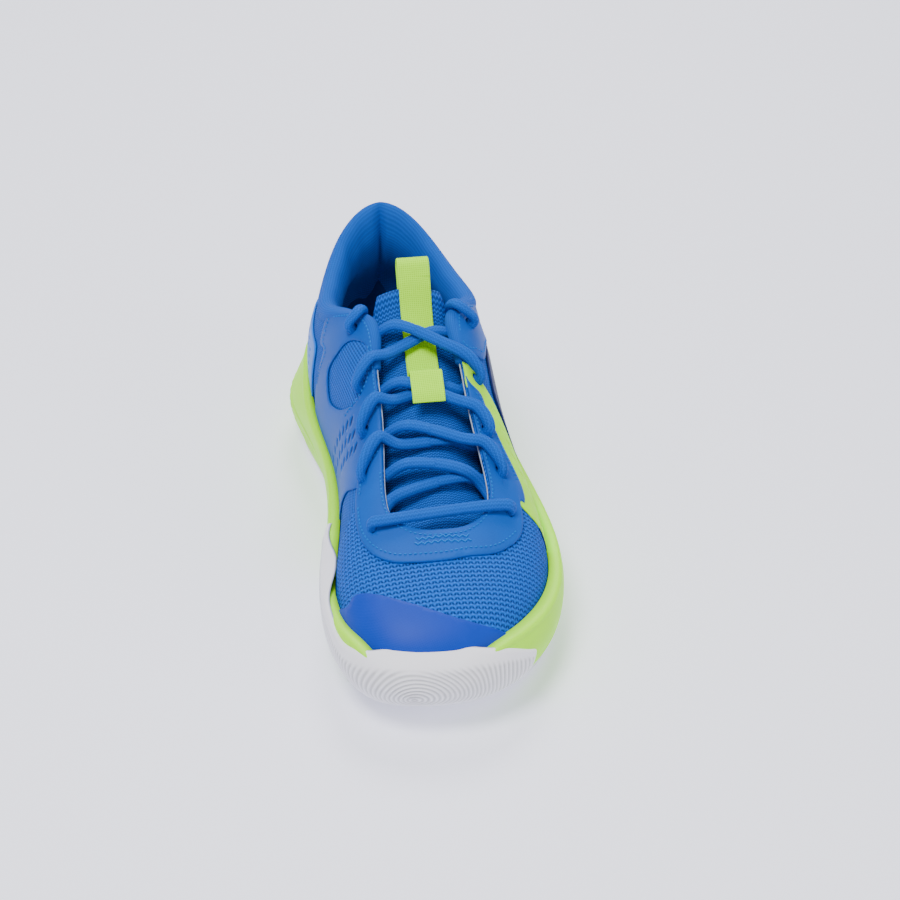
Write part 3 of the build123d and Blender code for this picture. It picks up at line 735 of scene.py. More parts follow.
HEEL_RIBS, RIM_ROUND = 100, 2.2
rise = np.linspace(0, 1, 64)
wall_height = low_level[:, None] + (top_level - RIM_ROUND - low_level)[:, None] * rise
lateral = np.exp(-((around - 0.24) / 0.15) ** 2) + np.exp(-((around - 0.68) / 0.13) ** 2)
lateral = np.clip(lateral, 0, 1)[:, None]
line_level = 0.60 + 0.10 * np.cos(math.tau * (around - 0.5))[:, None]
carved = -1.1 * np.exp(-((rise - line_level) / 0.028) ** 2) * lateral
carved = carved - 0.7 * np.exp(-((rise - line_level + 0.26) / 0.022) ** 2) * lateral
below = np.clip((line_level - 0.05 - rise) / 0.05, 0, 1) * np.clip((rise - 0.10) / 0.08, 0, 1)
heel = np.exp(-((around - 0.5) / 0.17) ** 4)[:, None]
carved = carved + 0.30 * np.cos(math.tau * HEEL_RIBS * around)[:, None] * below * heel
wall = sole_side(around, wall_height, carved)
top_wall = sole_side(around, (top_level - RIM_ROUND)[:, None], 0 * top_level[:, None])[:, 0]
inner_wall = np.array([
    beside_upper(around[k:k + 1], top_level[k], 0.2)[0] for k in range(AROUND)])
width = np.linalg.norm(top_wall[:, :2] - inner_wall, axis=1)
rounding = []
for step in range(1, 8):
    angle = step / 7 * math.pi / 2
    level = top_wall[:, :2] + (inner_wall - top_wall[:, :2]) * np.minimum(
        RIM_ROUND * (1 - math.cos(angle)) / width, 0.8)[:, None]
    over = top_level - RIM_ROUND + RIM_ROUND * math.sin(angle)
    rounding.append(np.concatenate([level, over[:, None]], 1))
rounding.append(np.concatenate([inner_wall, (top_level + 0.2)[:, None]], 1))
inside_rows = []
for share in (0.25, 0.5, 0.75, 1.0):
    level = top_level + (bed(sole_line(around)[:, 1]) - top_level) * share
    place = np.array([beside_upper(around[k:k + 1], level[k], SIDE_GAP)[0] for k in range(AROUND)])
    inside_rows.append(np.concatenate([place, level[:, None]], 1))
for share in (0.75, 0.5, 0.25, 0.02):
    place = inside_rows[3][:, :2] * share
    inside_rows.append(np.concatenate([place, (bed(place[:, 1]) - 0.1)[:, None]], 1))
under_rows = []
for share in (0.02, 0.4, 0.7, 0.9, 0.97):
    place = wall[:, 0, :2] * share
    under_rows.append(np.concatenate([place, (tread(place[:, 1]) + RUBBER)[:, None]], 1))
loops = under_rows + [wall[:, k] for k in range(wall.shape[1])] + rounding + inside_rows
points = np.stack(loops, 0)
count = len(loops)
faces = grid_faces(count, AROUND, wrap_columns=True, flip=True)
faces += [tuple(range(AROUND)), tuple((count - 1) * AROUND + k for k in range(AROUND))[::-1]]
girth = lengths_along(sole_line(around)[:, :2])
uvs = np.stack([np.tile(girth, (count, 1)), points[..., 2]], -1)
midsole = make_mesh("midsole_foam", points, faces, uvs)
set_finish(midsole, "midsole_foam")
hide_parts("midsole")

# White rubber wrapped up the toe and the inner side, with contour lines like a whorl.
WRAP_FROM, WRAP_TO = -0.196, 0.084
WHORL_HEIGHT, WHORL_PITCH = 19.0, 2.6
wrap_low = curve([5.2, 5.2, 6.5, 10.5, 12.5, 11.5])
wrap_rise = curve([0.6, 0.9, 0.8, 0.2, -2.6, -1.6, 0.3, 0.6, 0.6, 0.4, -2.4, -9.0])
share = np.linspace(0, 1, 620 // fine)
wrap_u = WRAP_FROM + (WRAP_TO - WRAP_FROM) * share
climb = np.linspace(0, 1, 110 // fine)
low = wrap_low(share)[:, None]
rim_there = np.interp(wrap_u % 1.0, np.append(around, 1.0), np.append(rubber_top, rubber_top[0]))
high = (rim_there + wrap_rise(share))[:, None]
height = low + (high - low) * climb
arc = lengths_along(sole_line(wrap_u)[:, :2])[:, None]
middle = 0.685 * arc[-1, 0]
ripple = np.sqrt(((arc - middle) / 0.85) ** 2 + ((height - WHORL_HEIGHT) / 0.62) ** 2)
ripple = ripple + 2.2 * np.sin((arc - middle) / 9) * np.sin(height / 5)
border = np.clip(np.minimum(climb * 10, (0.86 - climb) * 12), 0, 1)[None, :]
border = border * np.clip(np.minimum(share * 60, (1 - share) * 60), 0, 1)[:, None]
lines = 0.55 * (0.5 + 0.5 * np.cos(math.tau * ripple / WHORL_PITCH)) ** 1.5 * border
cover = np.clip(1 - (high - height) / 5.0, 0, 1) * wrapped(wrap_u)[:, None]
ends = np.clip(np.minimum(share * 40, (1 - share) * 40), 0, 1)[:, None]
lip = np.clip(1 - (high - height) / 1.2, 0, 1) ** 2
proud = (1.35 + lines) * (0.15 + 0.85 * np.sqrt(ends)) - 4.6 * cover ** 2.2 - 0.8 * lip
face = sole_side(wrap_u, height, proud)
back = sole_side(wrap_u, height, proud - 1.3 - lines)
bumper = shell("toe_wrap", face, back, np.stack([ripple, border], -1))
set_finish(bumper, "bumper_rubber")
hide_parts("toe_bumper")

# ---------------------------------------------------------------- collar

# Closed section of the padded collar: v on the upper, and the depth in millimetres.
COLLAR_PROFILE = [
    (0.90, -0.10), (0.95, -0.75), (1.00, -0.85), (1.045, 0.4), (1.068, 3.2), (1.045, 7.2), (0.97, 10.4),
    (0.86, 11.6), (0.72, 11.0), (0.58, 8.6), (0.44, 5.8), (0.30, 4.3), (0.12, 3.9), (0.11, 2.6),
    (0.40, 1.95), (0.70, 1.95), (0.90, 1.95), (0.968, 1.90), (0.98, 1.0), (0.94, 0.10),
]
turn = np.arange(150 // fine) / (150 // fine)
profile = curve(COLLAR_PROFILE, closed=True)(turn)
collar_u = np.linspace(0.247, 0.753, 420 // fine)
from_heel = np.abs(collar_u - 0.5)
fullness = 0.22 + 0.78 * (1 - np.clip((from_heel - 0.12) / 0.133, 0, 1) ** 1.4)
fold = 1 - 0.45 * np.exp(-np.abs((collar_u - 0.5) / 0.007) ** 1.4)
v = profile[None, :, 0] + 0 * collar_u[:, None]
tall = 0.35 + 0.65 * fullness[:, None] + 0.72 * np.exp(-(from_heel[:, None] / 0.12) ** 2)
v = np.where(v > 0.99, 0.99 + (v - 0.99) * tall, v)
d = profile[None, :, 1] + 0 * collar_u[:, None]
soft = 0.22 * np.sin(collar_u * 97 + 1.1)[:, None] * np.sin(v * 9 + collar_u[:, None] * 31)
soft = soft + 0.15 * np.sin(collar_u[:, None] * 211 + v * 5)
deep = np.clip((d - 2.2) / 3, 0, 1)
d = np.where(d > 2.0, 2.0 + (d - 2.0) * (fullness * fold)[:, None], d) + soft * deep
collar_points = skin(collar_u[:, None] + 0 * v, v, d)
along = lengths_along(profile * [56, 1])
girth = surface_uv(collar_u, 0 * collar_u + 0.5)[:, 0]
collar_uvs = np.stack([girth[:, None] + 0 * v, along[None, :] + 0 * v], -1)
rows, sides = v.shape
faces = grid_faces(rows, sides, wrap_columns=True)
faces += [tuple(range(sides)), tuple((rows - 1) * sides + k for k in range(sides - 1, -1, -1))]
collar = make_mesh("collar", collar_points, faces, collar_uvs)
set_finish(collar, "collar_knit")
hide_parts("collar_padding", "collar_lining")

# ---------------------------------------------------------------- tongue

# Along the tongue: y, height of its crown, half its width, and how far its sides fall.
TONGUE = [
    (-94, 48.5, 16, 1.5), (-78, 52.5, 20, 3.5), (-60, 59.5, 23, 8), (-40, 66.2, 25, 11),
    (-16, 75.8, 26, 13), (10, 86.8, 25, 13), (28, 95.8, 23, 11), (39, 104.5, 20, 8), (45, 113.5, 16, 4),
]
THICK = 6.7
tongue_rows = curve(TONGUE)


def tongue_point(s, t):
    """Place on the face of the tongue: s from side to side, t from the seam to the top."""
    y, crown, half_width, fall = np.moveaxis(tongue_rows(t), -1, 0)
    return np.stack([s * half_width, y + 0 * s, crown - fall * s * s], -1)


def tongue_normal(s, t):
    """Direction out of the face of the tongue."""
    across = tongue_point(s + STEP, t) - tongue_point(s - STEP, t)
    along = tongue_point(s, np.minimum(t + STEP, 1)) - tongue_point(s, np.maximum(t - STEP, 0))
    return unit(np.cross(across, along))


def mesh_dots(uv):
    """Height of the tongue mesh: staggered beads."""
    across, along = uv[..., 0] / 1.9, uv[..., 1] / 1.35
    return 0.16 * (0.5 + 0.5 * np.cos(math.tau * across) * np.cos(math.tau * along))


def closed_rows(points):
    """Faces of a pillow made of closed rows of points, with a cap at each end."""
    rows, sides = points.shape[:2]
    first = tuple(range(sides))
    last = tuple((rows - 1) * sides + k for k in range(sides))
    return grid_faces(rows, sides, wrap_columns=True, flip=True) + [first, last[::-1]]


t = np.linspace(0, 1, 380 // fine)[:, None]
angle = (np.arange(240 // fine) / (240 // fine) * math.tau)[None, :]
s = np.sign(np.cos(angle)) * np.abs(np.cos(angle)) ** 0.62 + 0 * t
upper_half = np.sign(np.sin(angle)) * np.abs(np.sin(angle)) ** 0.75 + 0 * t
end = np.clip((1 - t) / 0.035, 0, 1)
end = 0.25 + 0.75 * np.sqrt(1 - (1 - end) ** 2)
t = t + 0 * s
plump = 0.94 + 0.10 * np.cos(s * math.pi * 2.2)
depth = THICK / 2 - THICK / 2 * upper_half * end * plump
lengths = tongue_rows(t)[..., 0] * 1.12
tongue_uvs = np.stack([s * tongue_rows(t)[..., 2] * 1.12, lengths], -1)
relief = mesh_dots(tongue_uvs) * (upper_half > 0)
tongue_points = tongue_point(s, t) - tongue_normal(s, t) * (depth - relief)[..., None]
tongue = make_mesh("tongue_pad", tongue_points, closed_rows(tongue_points), tongue_uvs, body="tongue")
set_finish(tongue, "tongue_knit")
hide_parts("tongue_face", "tongue_padding", "tongue_lining")
tongue_line = tongue_point(np.zeros(201), np.linspace(0, 1, 201))


def tongue_height(y):
    """Height of the crown of the tongue along the shoe."""
    return np.interp(y, tongue_line[:, 1], tongue_line[:, 2])


# ---------------------------------------------------------------- lace

LACE = 4.5
# Depths of the lace over and under an eyelet, and its gap over the tongue at each crossing.
OVER = -(0.9 + LACE / 2 + 0.5)
UNDER = 1.8 + 0.6 + LACE / 2 + 0.4
CROWN_GAPS = (0.9, 0.9, 1.2, 3.0)
PLATEAU = 0.25
LIFT = LACE - 0.1
LACE_GAP = 0.45


def eyelet(side, row):
    """Place of an eyelet in (u, v), on the outer side where side is 1 and the inner where it is -1."""
    return (EYELETS_OUT if side > 0 else EYELETS_IN)[row]


def eyelet_point(side, row, depth):
    """Centre of an eyelet at a depth."""
    return skin(*eyelet(side, row), depth)


def edge_point(side, row, along, depth):
    """Point over or behind the throat edge, a little way round from an eyelet."""
    return skin(eyelet(side, row)[0] + side * along, 0.965, depth)


def crossing(start, finish, lift):
    """Two points that carry a lace over the crown of the tongue, at a height above it."""
    points = []
    for share in (0.5 - PLATEAU, 0.5 + PLATEAU):
        place = start + (finish - start) * share
        place[2] = tongue_height(place[1]) + LACE / 2 + lift
        points.append(place)
    return points


def strand(side, lifts):
    """Half of the lace, from its first eyelet to the end tucked into the collar."""
    points = [eyelet_point(side, 0, OVER), eyelet_point(side, 0, UNDER)]
    behind = edge_point(side, 0, 0.014, UNDER + 0.5)
    for row in range(1, 5):
        arrival = edge_point(-side, row, -0.012, UNDER + 0.5)
        points += [behind] + crossing(behind, arrival, CROWN_GAPS[row - 1] + lifts[row - 1]) + [arrival]
        side = -side
        points += [eyelet_point(side, row, UNDER), eyelet_point(side, row, OVER)]
        behind = edge_point(side, row, 0.010, OVER - 0.8)
    u = eyelet(side, -1)[0]
    points += [skin(u + side * 0.006, 0.985, OVER - 0.8), skin(u + side * 0.016, 1.07, -0.5)]
    points += [skin(u + side * 0.025, 0.99, 8.5), skin(u + side * 0.022, 0.80, 13.0)]
    return points


def lace_piece(name, path):
    """Braided lace along a path, a little wider than it is thick."""
    sides = 20
    along = lengths_along(path)[:, None]
    tangent = unit(np.gradient(path, axis=0))
    side = np.zeros_like(path)
    side[0] = unit(np.cross(tangent[0], [0, 0, 1.0]))
    for k in range(1, len(path)):
        level = unit(side[k - 1] - tangent[k] * np.dot(side[k - 1], tangent[k]))
        wanted = np.cross(tangent[k], [0, -0.35, 1.0])
        level = level + 0.06 * wanted * (1 if np.dot(wanted, level) > 0 else -1)
        side[k] = unit(level - tangent[k] * np.dot(level, tangent[k]))
    normal = np.cross(side, tangent)
    angle = (np.arange(sides) / sides * math.tau)[None, :]
    chevron = np.abs((angle * 2 / math.pi) % 2 - 1)
    braid = 0.06 * np.cos(math.tau * (along / 1.6 + 0.6 * chevron))
    points = (path[:, None] + side[:, None] * (np.cos(angle) * (3.0 + braid))[..., None]
              + normal[:, None] * (np.sin(angle) * (2.25 + braid))[..., None])
    uvs = np.stack([along + 0 * angle, 0 * along + angle * 2.4], -1)
    piece = make_mesh(name, points, closed_rows(points), uvs, body=None)
    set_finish(piece, "lace_cord")
    return piece


outer_strand = strand(1, (LIFT, 0, LIFT, 0))
inner_strand = strand(-1, (0, LIFT, 0, LIFT))
bar = [outer_strand[1], outer_strand[0], edge_point(1, 0, -0.03, OVER), edge_point(-1, 0, -0.03, OVER),
       inner_strand[0], inner_strand[1]]
lace_bar = lace_piece("lace_bar", resampled(bar, LACE_GAP))
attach(lace_bar, "shoe")
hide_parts("lace")
for strand_name, route in (("outer", outer_strand), ("inner", inner_strand)):
    path = resampled(route[1:], LACE_GAP)
    crossed = [k for k in range(1, len(path)) if path[k - 1, 0] * path[k, 0] <= 0]
    cuts = [0] + crossed + [len(path)]
    for number, (first, last) in enumerate(zip(cuts, cuts[1:])):
        side = 1 if path[(first + last) // 2, 0] > 0 else -1
        piece = lace_piece(f"lace_{strand_name}_{number}", path[max(first - 1, 0):last + 1])
        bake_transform(piece)

# ---------------------------------------------------------------- webbing strap and pull loop

WEBBING, WEBBING_WIDTH, WEBBING_GAP = 1.2, 15.5, 0.3
KEEPER_CENTRE, KEEPER_LEVEL, KEEPER_FALL = -8.5, 8.0, 8.0
WEBBING_FROM, WEBBING_TO = -15.0, 43.5
arch_height = CROWN_GAPS[2] + LACE + LIFT + 0.6
strap_y = np.linspace(WEBBING_FROM, WEBBING_TO, 80)
away = np.clip((np.abs(strap_y - KEEPER_CENTRE) - KEEPER_LEVEL) / KEEPER_FALL, 0, 1)
arch = WEBBING_GAP + (arch_height - WEBBING_GAP) * (1 - away * away * (3 - 2 * away))
droop = 1.6 * np.clip((WEBBING_FROM + 5 - strap_y) / 5, 0, 1) ** 2
strap_line = [(y, tongue_height(y) + lift + WEBBING / 2) for y, lift in zip(strap_y, arch - droop)]
up_y, up_z = unit(np.array(TONGUE[-1][:2], float) - np.array(TONGUE[-2][:2], float))
loop_front, loop_back = WEBBING_GAP + WEBBING / 2, -(THICK + 0.2 + WEBBING_GAP + WEBBING / 2)


def beside_tongue(along, out):
    """Place in the side view, along the end of the tongue and out from its face."""
    return TONGUE[-1][0] + up_y * along - up_z * out, TONGUE[-1][1] + up_z * along + up_y * out


middle_out, bend = (loop_front + loop_back) / 2, (loop_front - loop_back) / 2
strap_line += [beside_tongue(along, loop_front) for along in (2, 5, 8)]
strap_line += [
    beside_tongue(9.6 + bend * math.sin(a), middle_out + bend * math.cos(a))
    for a in np.linspace(0, math.pi, 12)
]
strap_line += [beside_tongue(along, loop_back) for along in (6, 2, -2, -6, -10)]
strap_path = resampled([(0.0, y, z) for y, z in strap_line], 0.55 * fine)
share = np.linspace(-1, 1, 44 // fine)[None, :]
along = lengths_along(strap_path)[:, None]
tangent = unit(np.gradient(strap_path, axis=0))
out = np.stack([0 * tangent[:, 0], -tangent[:, 2], tangent[:, 1]], -1)
askew = np.interp(strap_path[:, 1], (WEBBING_FROM, WEBBING_TO), (1.6, 2.8))[:, None]
x = askew + share * WEBBING_WIDTH / 2
on_tongue = np.interp(strap_path[:, 1], strap_y, away)[:, None] * (along < 80)
falls = np.interp(strap_path[:, 1], [row[0] for row in TONGUE], [row[3] for row in TONGUE])[:, None]
widths = np.interp(strap_path[:, 1], [row[0] for row in TONGUE], [row[2] for row in TONGUE])[:, None]
sag = -falls * (x / widths) ** 2 * on_tongue
weave = 0.10 * np.cos(math.tau * x / 1.1 + math.pi * (np.floor(along / 0.9) % 2))
rounding_off = np.clip((1 - np.abs(share)) / 0.05, 0, 1)


def strap_face(height):
    """One face of the strap, at a height from its middle."""
    place = np.stack([x, strap_path[:, None, 1] + 0 * x, strap_path[:, None, 2] + sag], -1)
    thickness = height * np.sqrt(rounding_off * (2 - rounding_off) + 0.08)
    return place + out[:, None, :] * thickness[..., None]


strap = shell(
    "pull_strap", strap_face(WEBBING / 2 + weave), strap_face(-WEBBING / 2),
    np.stack([x, along + 0 * x], -1), None)
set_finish(strap, "webbing")
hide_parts("tongue_webbing", "pull_loop")
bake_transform(strap)

# ---------------------------------------------------------------- materials


class Graph:
    """Builds a material's nodes."""

    def __init__(self, name):
        self.material = bpy.data.materials.new(name)
        self.material.use_nodes = True
        self.tree = self.material.node_tree
        self.shader = self.tree.nodes["Principled BSDF"]
        self.uv = self.node("ShaderNodeUVMap")
        self.uv.uv_map = "Millimetres"
        self.object = self.node("ShaderNodeTexCoord")

    def node(self, kind, **values):
        made = self.tree.nodes.new(kind)
        for key, value in values.items():
            setattr(made, key, value)
        return made

    def link(self, source, target):
        self.tree.links.new(source, target)

    def place(self, use_uv=True, scale=(1, 1, 1), turn=0.0):
        mapping = self.node("ShaderNodeMapping")
        mapping.inputs["Scale"].default_value = scale
        mapping.inputs["Rotation"].default_value = (0, 0, math.radians(turn))
        source = self.uv.outputs["UV"] if use_uv else self.object.outputs["Object"]
        self.link(source, mapping.inputs["Vector"])
        return mapping.outputs["Vector"]

    def noise(self, scale, detail=3.0):
        made = self.node("ShaderNodeTexNoise")
        made.inputs["Scale"].default_value = scale
        made.inputs["Detail"].default_value = detail
        self.link(self.place(use_uv=False), made.inputs["Vector"])
        return made.outputs["Fac"]

    def wave(self, scale, direction="X", distortion=0.0, turn=0.0):
        made = self.node("ShaderNodeTexWave", bands_direction=direction)
        made.inputs["Scale"].default_value = scale
        made.inputs["Distortion"].default_value = distortion
        self.link(self.place(turn=turn), made.inputs["Vector"])
        return made.outputs["Fac"]

    def maths(self, operation, a, b=0.0):
        made = self.node("ShaderNodeMath", operation=operation)
        for socket, value in zip(made.inputs, (a, b)):
            if isinstance(value, (int, float)):
                socket.default_value = value
            else:
                self.link(value, socket)
        return made.outputs[0]

    def ramp(self, value, stops):
        made = self.node("ShaderNodeValToRGB")
        ramp = made.color_ramp
        while len(ramp.elements) < len(stops):
            ramp.elements.new(0.5)
        for element, (position, colour) in zip(ramp.elements, stops):
            element.position = position
            element.color = (*colour, 1)
        self.link(value, made.inputs["Fac"])
        return made.outputs["Color"]

    def bump(self, value, distance, strength=1.0, over=None):
        made = self.node("ShaderNodeBump")
        made.inputs["Strength"].default_value = strength
        made.inputs["Distance"].default_value = distance
        self.link(value, made.inputs["Height"])
        if over is not None:
            self.link(over, made.inputs["Normal"])
        return made.outputs["Normal"]

    def finish(self, colour, roughness, normal=None, **values):
        """Wires the shader and returns the material."""
        self.link(colour, self.shader.inputs["Base Color"])
        if isinstance(roughness, (int, float)):
            self.shader.inputs["Roughness"].default_value = roughness
        else:
            self.link(roughness, self.shader.inputs["Roughness"])
        if normal is not None:
            self.link(normal, self.shader.inputs["Normal"])
        for key, value in values.items():
            self.shader.inputs[key].default_value = value
        return self.material


def shade(colour, factor):
    """Colour made darker or lighter."""
    return tuple(min(c * factor, 1.0) for c in colour)


def spread_of(graph, value, low, high):
    """A roughness between low and high that follows a value."""
    return graph.maths("ADD", graph.maths("MULTIPLY", value, high - low), low)


BLUE = (0.0, 0.100, 0.530)
LIGHT_BLUE = (0.0, 0.150, 0.640)
ROYAL = (0.004, 0.040, 0.400)
NAVY = (0.001, 0.010, 0.090)
LIME = (0.430, 1.000, 0.0)
WHITE = (0.900, 0.890, 0.940)


def knit(name, colour, crest_highlight, dark=0.3, wide=1.0, high=1.0, lean=0.0, relief=1.0):
    """Yarn tone, with painted shade in the gaps between the stitches in the mesh and painted light on their
    raised crests.
    """
    g = Graph(name)
    parts = g.node("ShaderNodeSeparateXYZ")
    g.link(g.place(scale=(1 / wide, 1 / high, 1)), parts.inputs["Vector"])
    across, along = parts.outputs["X"], parts.outputs["Y"]
    zigzag = g.maths("MULTIPLY", g.maths("PINGPONG", across, 0.5), 2 * lean)
    rib = g.maths("COSINE", g.maths("MULTIPLY", g.maths("ADD", along, zigzag), math.tau))
    column = g.maths("COSINE", g.maths("MULTIPLY", across, math.tau * (2 if lean else 1)))
    stitch = g.maths("ADD", g.maths("MULTIPLY", rib, 0.33), g.maths("MULTIPLY", column, 0.14))
    wear = g.noise(38.0, 4.0)
    fibre = g.wave(1.6, "DIAGONAL", 3.0)
    tone = g.maths("ADD", g.maths("ADD", stitch, 0.42), g.maths("MULTIPLY", wear, 0.12))
    # Painted shade darkens the gaps between the stitches, and painted light brightens their crests.
    base = g.ramp(tone, [
        (0.08, shade(colour, dark)), (0.42, shade(colour, 0.9)), (0.95, shade(colour, crest_highlight))])
    normal = g.bump(fibre, 0.00012, 0.5, over=g.bump(stitch, 0.0004 * relief, 0.6))
    return g.finish(base, spread_of(g, wear, 0.70, 0.88), normal, **{"Specular IOR Level": 0.22})


def film(name, colour, rough, grid=0.0, coat=0.0):
    """Bonded synthetic sheet with a fine grain."""
    g = Graph(name)
    grain = g.noise(1500.0, 3.0)
    broad = g.noise(60.0, 4.0)
    tone = g.maths("ADD", g.maths("MULTIPLY", grain, 0.4), g.maths("MULTIPLY", broad, 0.6))
    if grid:
        lines = g.maths("MAXIMUM", g.wave(0.42, "X", turn=28), g.wave(0.42, "Y", turn=28))
        tone = g.maths("ADD", g.maths("MULTIPLY", tone, 1 - grid), g.maths("MULTIPLY", lines, grid))
    base = g.ramp(tone, [(0.25, shade(colour, 0.84)), (0.55, colour), (0.85, shade(colour, 1.16))])
    normal = g.bump(grain, 0.00008, 0.55)
    if grid:
        normal = g.bump(lines, 0.00006, 0.5, over=normal)
    return g.finish(base, spread_of(g, tone, rough - 0.06, rough + 0.08), normal, **{
        "Coat Weight": coat, "Coat Roughness": 0.35, "Specular IOR Level": 0.16})


def moulded(name, colour, rough, mottle=0.1, sub=0.0):
    """Rubber or foam from a mould, with a fine grain and slight scuffs."""
    g = Graph(name)
    grain = g.noise(1260.0, 3.0)
    cloud = g.noise(24.0, 5.0)
    tone = g.maths("ADD", g.maths("MULTIPLY", grain, 0.5), g.maths("MULTIPLY", cloud, 0.5))
    base = g.ramp(tone, [
        (0.3, shade(colour, 1 - mottle)), (0.6, colour), (0.85, shade(colour, 1 + mottle))])
    normal = g.bump(grain, 0.00012, 0.45)
    return g.finish(base, spread_of(g, cloud, rough - 0.06, rough + 0.10), normal, **{
        "Subsurface Weight": sub, "Subsurface Scale": 0.004, "Specular IOR Level": 0.4})


def contoured(name, colour):
    """Rubber whose grooves, which run along the first map direction, hold a little shade."""
    g = Graph(name)
    parts = g.node("ShaderNodeSeparateXYZ")
    g.link(g.place(), parts.inputs["Vector"])
    groove = g.maths("COSINE", g.maths("MULTIPLY", parts.outputs["X"], math.tau / WHORL_PITCH))
    groove = g.maths("SUBTRACT", 0.5, g.maths("MULTIPLY", groove, 0.5))
    groove = g.maths("MULTIPLY", groove, parts.outputs["Y"])
    cloud = g.noise(40.0, 4.0)
    tone = g.maths("ADD", g.maths("MULTIPLY", groove, 0.8), g.maths("MULTIPLY", cloud, 0.2))
    base = g.ramp(tone, [(0.1, colour), (0.9, shade(colour, 0.62))])
    normal = g.bump(g.noise(1200.0, 3.0), 0.00010, 0.4)
    return g.finish(base, spread_of(g, cloud, 0.42, 0.58), normal, **{"Specular IOR Level": 0.35})


def woven(name, colour, period, dark=0.7):
    """Narrow weave with crossing threads."""
    g = Graph(name)
    warp = g.wave(math.tau / 20 / period, "X")
    weft = g.wave(math.tau / 20 / period, "Y")
    fibre = g.noise(1800.0, 2.0)
    cloth = g.maths("ADD", g.maths("MULTIPLY", warp, 0.35), g.maths("MULTIPLY", weft, 0.35))
    cloth = g.maths("ADD", cloth, g.maths("MULTIPLY", fibre, 0.3))
    base = g.ramp(cloth, [(0.15, shade(colour, dark)), (0.5, colour), (0.85, shade(colour, 1.18))])
    normal = g.bump(g.maths("MAXIMUM", warp, weft), 0.00016, 0.6)
    normal = g.bump(fibre, 0.00008, 0.4, over=normal)
    return g.finish(base, spread_of(g, fibre, 0.62, 0.86), normal, **{"Specular IOR Level": 0.22})


LOOKS = {
    "vamp_knit": knit("Vamp knit", BLUE, 1.5, 0.22, KNIT_X, KNIT_Y, 0.5),
    "quarter_knit": knit("Quarter knit", shade(BLUE, 0.95), 1.35, 0.35, RIB_X, RIB_Y),
    "tongue_knit": knit("Tongue knit", shade(BLUE, 0.72), 2.0, 0.5, 1.9, 1.5, 0.5),
    "collar_knit": knit("Collar knit", shade(BLUE, 0.90), 1.12, 0.80, 1.2, 1.2, 0.0, 0.2),
    "lace_cord": knit("Lace braid", shade(BLUE, 0.95), 1.15, 0.72, 1.6, 1.5, 0.5, 0.4),
    "toe_film": film("Toe film", ROYAL, 0.50, grid=0.45, coat=0.03),
    "facing": film("Facing", shade(BLUE, 0.80), 0.55),
    "inner_film": film("Inner film", shade(BLUE, 0.76), 0.52),
    "wing_film": film("Wing film", LIME, 0.55),
    # Navy of the outer side panel; the same material also makes the painted shade sheets under the
    # perforations.
    "side_film": film("Side film", NAVY, 0.5),
    "collar_film": film("Collar film", shade(BLUE, 0.80), 0.5),
    "heel_film": film("Heel film", LIGHT_BLUE, 0.42, coat=0.1),
    "strip_film": film("Strip film", LIME, 0.5),
    "backing": woven("Backing", (0.42, 0.50, 0.62), 0.7),
    "midsole_foam": moulded("Midsole foam", LIME, 0.5, 0.06, sub=0.08),
    "bumper_rubber": contoured("Bumper rubber", WHITE),
    "outsole_rubber": moulded("Outsole rubber", WHITE, 0.5, 0.06),
    "webbing": woven("Webbing", LIME, 1.0),
    "sockliner_foam": woven("Sockliner knit", shade(BLUE, 0.5), 0.9),
    "lining": woven("Lining", shade(BLUE, 0.6), 0.9),
    "padding": moulded("Padding foam", (0.25, 0.25, 0.28), 0.85),
    "board": moulded("Board", (0.45, 0.40, 0.32), 0.85),
    "shank": moulded("Shank", (0.03, 0.03, 0.035), 0.4),
    "stiffener": moulded("Stiffener", (0.55, 0.56, 0.58), 0.6),
    "aglet_plastic": moulded("Aglet", shade(BLUE, 0.8), 0.3),
}

THREAD = woven("Thread", (0.0, 0.20, 0.80), 0.6)
SLOTS = {part["node"]: part["material_slot"] for part in frame["record"]["subparts"]}
for piece in bpy.data.objects:
    if piece.type != "MESH":
        continue
    slot = piece.get("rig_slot") or SLOTS.get(piece.get("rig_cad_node"))
    if slot:
        piece.data.materials.clear()
        sewn = piece.name.endswith("stitches") or piece.name == "bar_tack"
        piece.data.materials.append(THREAD if sewn else LOOKS[slot])

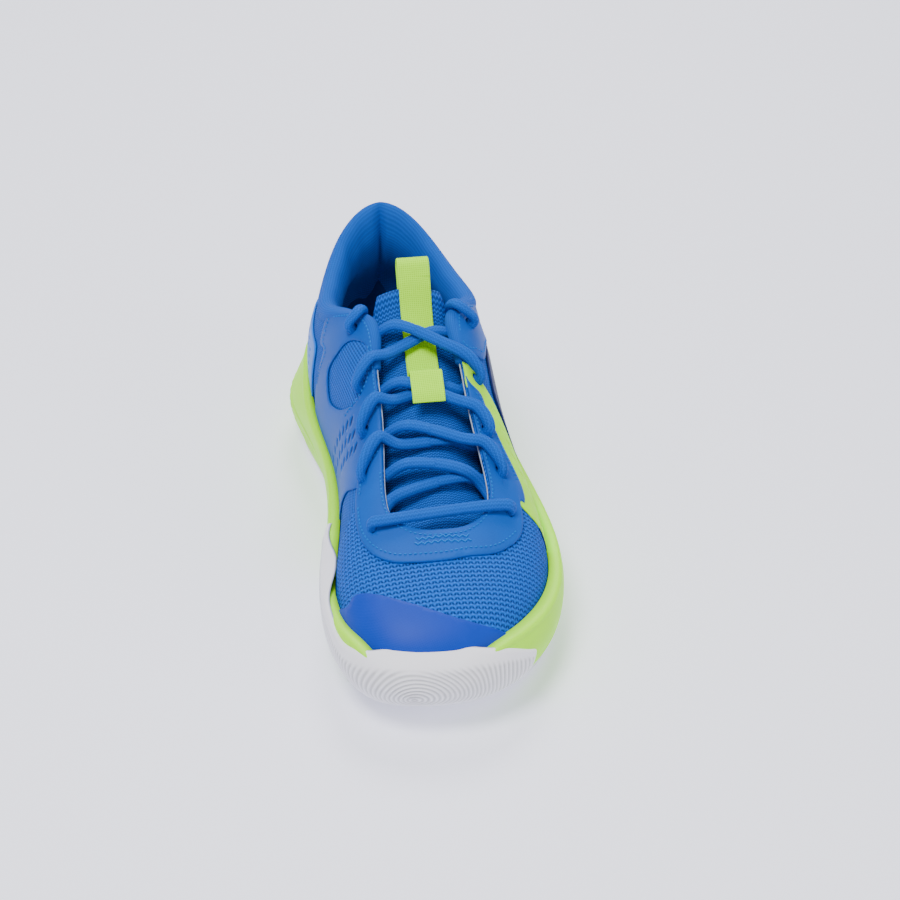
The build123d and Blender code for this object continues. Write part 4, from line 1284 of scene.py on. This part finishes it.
# ---------------------------------------------------------------- studio

bpy.ops.mesh.primitive_plane_add(size=60, location=(0, 0, 0))
floor = bpy.context.object
floor.name = "floor"
floor_graph = Graph("Studio floor")
paper = floor_graph.ramp(
    floor_graph.noise(1.2, 2.0), [(0.3, (0.84, 0.845, 0.95)), (0.7, (0.87, 0.875, 0.97))])
floor_graph.finish(paper, 0.6, **{"Emission Color": (0.86, 0.87, 1.0, 1), "Emission Strength": 0.45})
floor.data.materials.append(floor_graph.material)
floor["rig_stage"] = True

world = bpy.context.scene.world or bpy.data.worlds.new("World")
bpy.context.scene.world = world
world.use_nodes = True
world.node_tree.nodes["Background"].inputs["Color"].default_value = (0.86, 0.88, 0.96, 1)
world.node_tree.nodes["Background"].inputs["Strength"].default_value = 0.55


def area_light(name, place, aim, size, power):
    """Round light at a place, aimed at a point."""
    data = bpy.data.lights.new(name, "AREA")
    data.shape = "DISK"
    data.size = size
    data.energy = power
    light = bpy.data.objects.new(name, data)
    light.location = place
    light.rotation_euler = (Vector(aim) - Vector(place)).to_track_quat("-Z", "Y").to_euler()
    bpy.context.scene.collection.objects.link(light)


area_light("Key", (-0.45, -0.35, 1.5), (0, 0, 0.05), 0.7, 26)
area_light("Fill", (1.1, -0.9, 0.7), (0, 0, 0.05), 0.8, 6)
area_light("Back", (0.2, 1.1, 1.2), (0, 0, 0.08), 0.7, 16)

TARGET = np.array([0.0135, 0.0, 0.0478])
AZIMUTH, ELEVATION, DISTANCE = math.radians(-8.2), math.radians(34), 1.2
camera_data = bpy.data.cameras.new("Camera")
camera_data.lens = 99.6
camera = bpy.data.objects.new("Camera", camera_data)
direction = np.array([
    math.sin(AZIMUTH) * math.cos(ELEVATION), -math.cos(AZIMUTH) * math.cos(ELEVATION), math.sin(ELEVATION)])
camera.location = TARGET + DISTANCE * direction
camera.rotation_euler = Vector(-direction).to_track_quat("-Z", "Y").to_euler()
bpy.context.scene.collection.objects.link(camera)
bpy.context.scene.camera = camera

low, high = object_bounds()
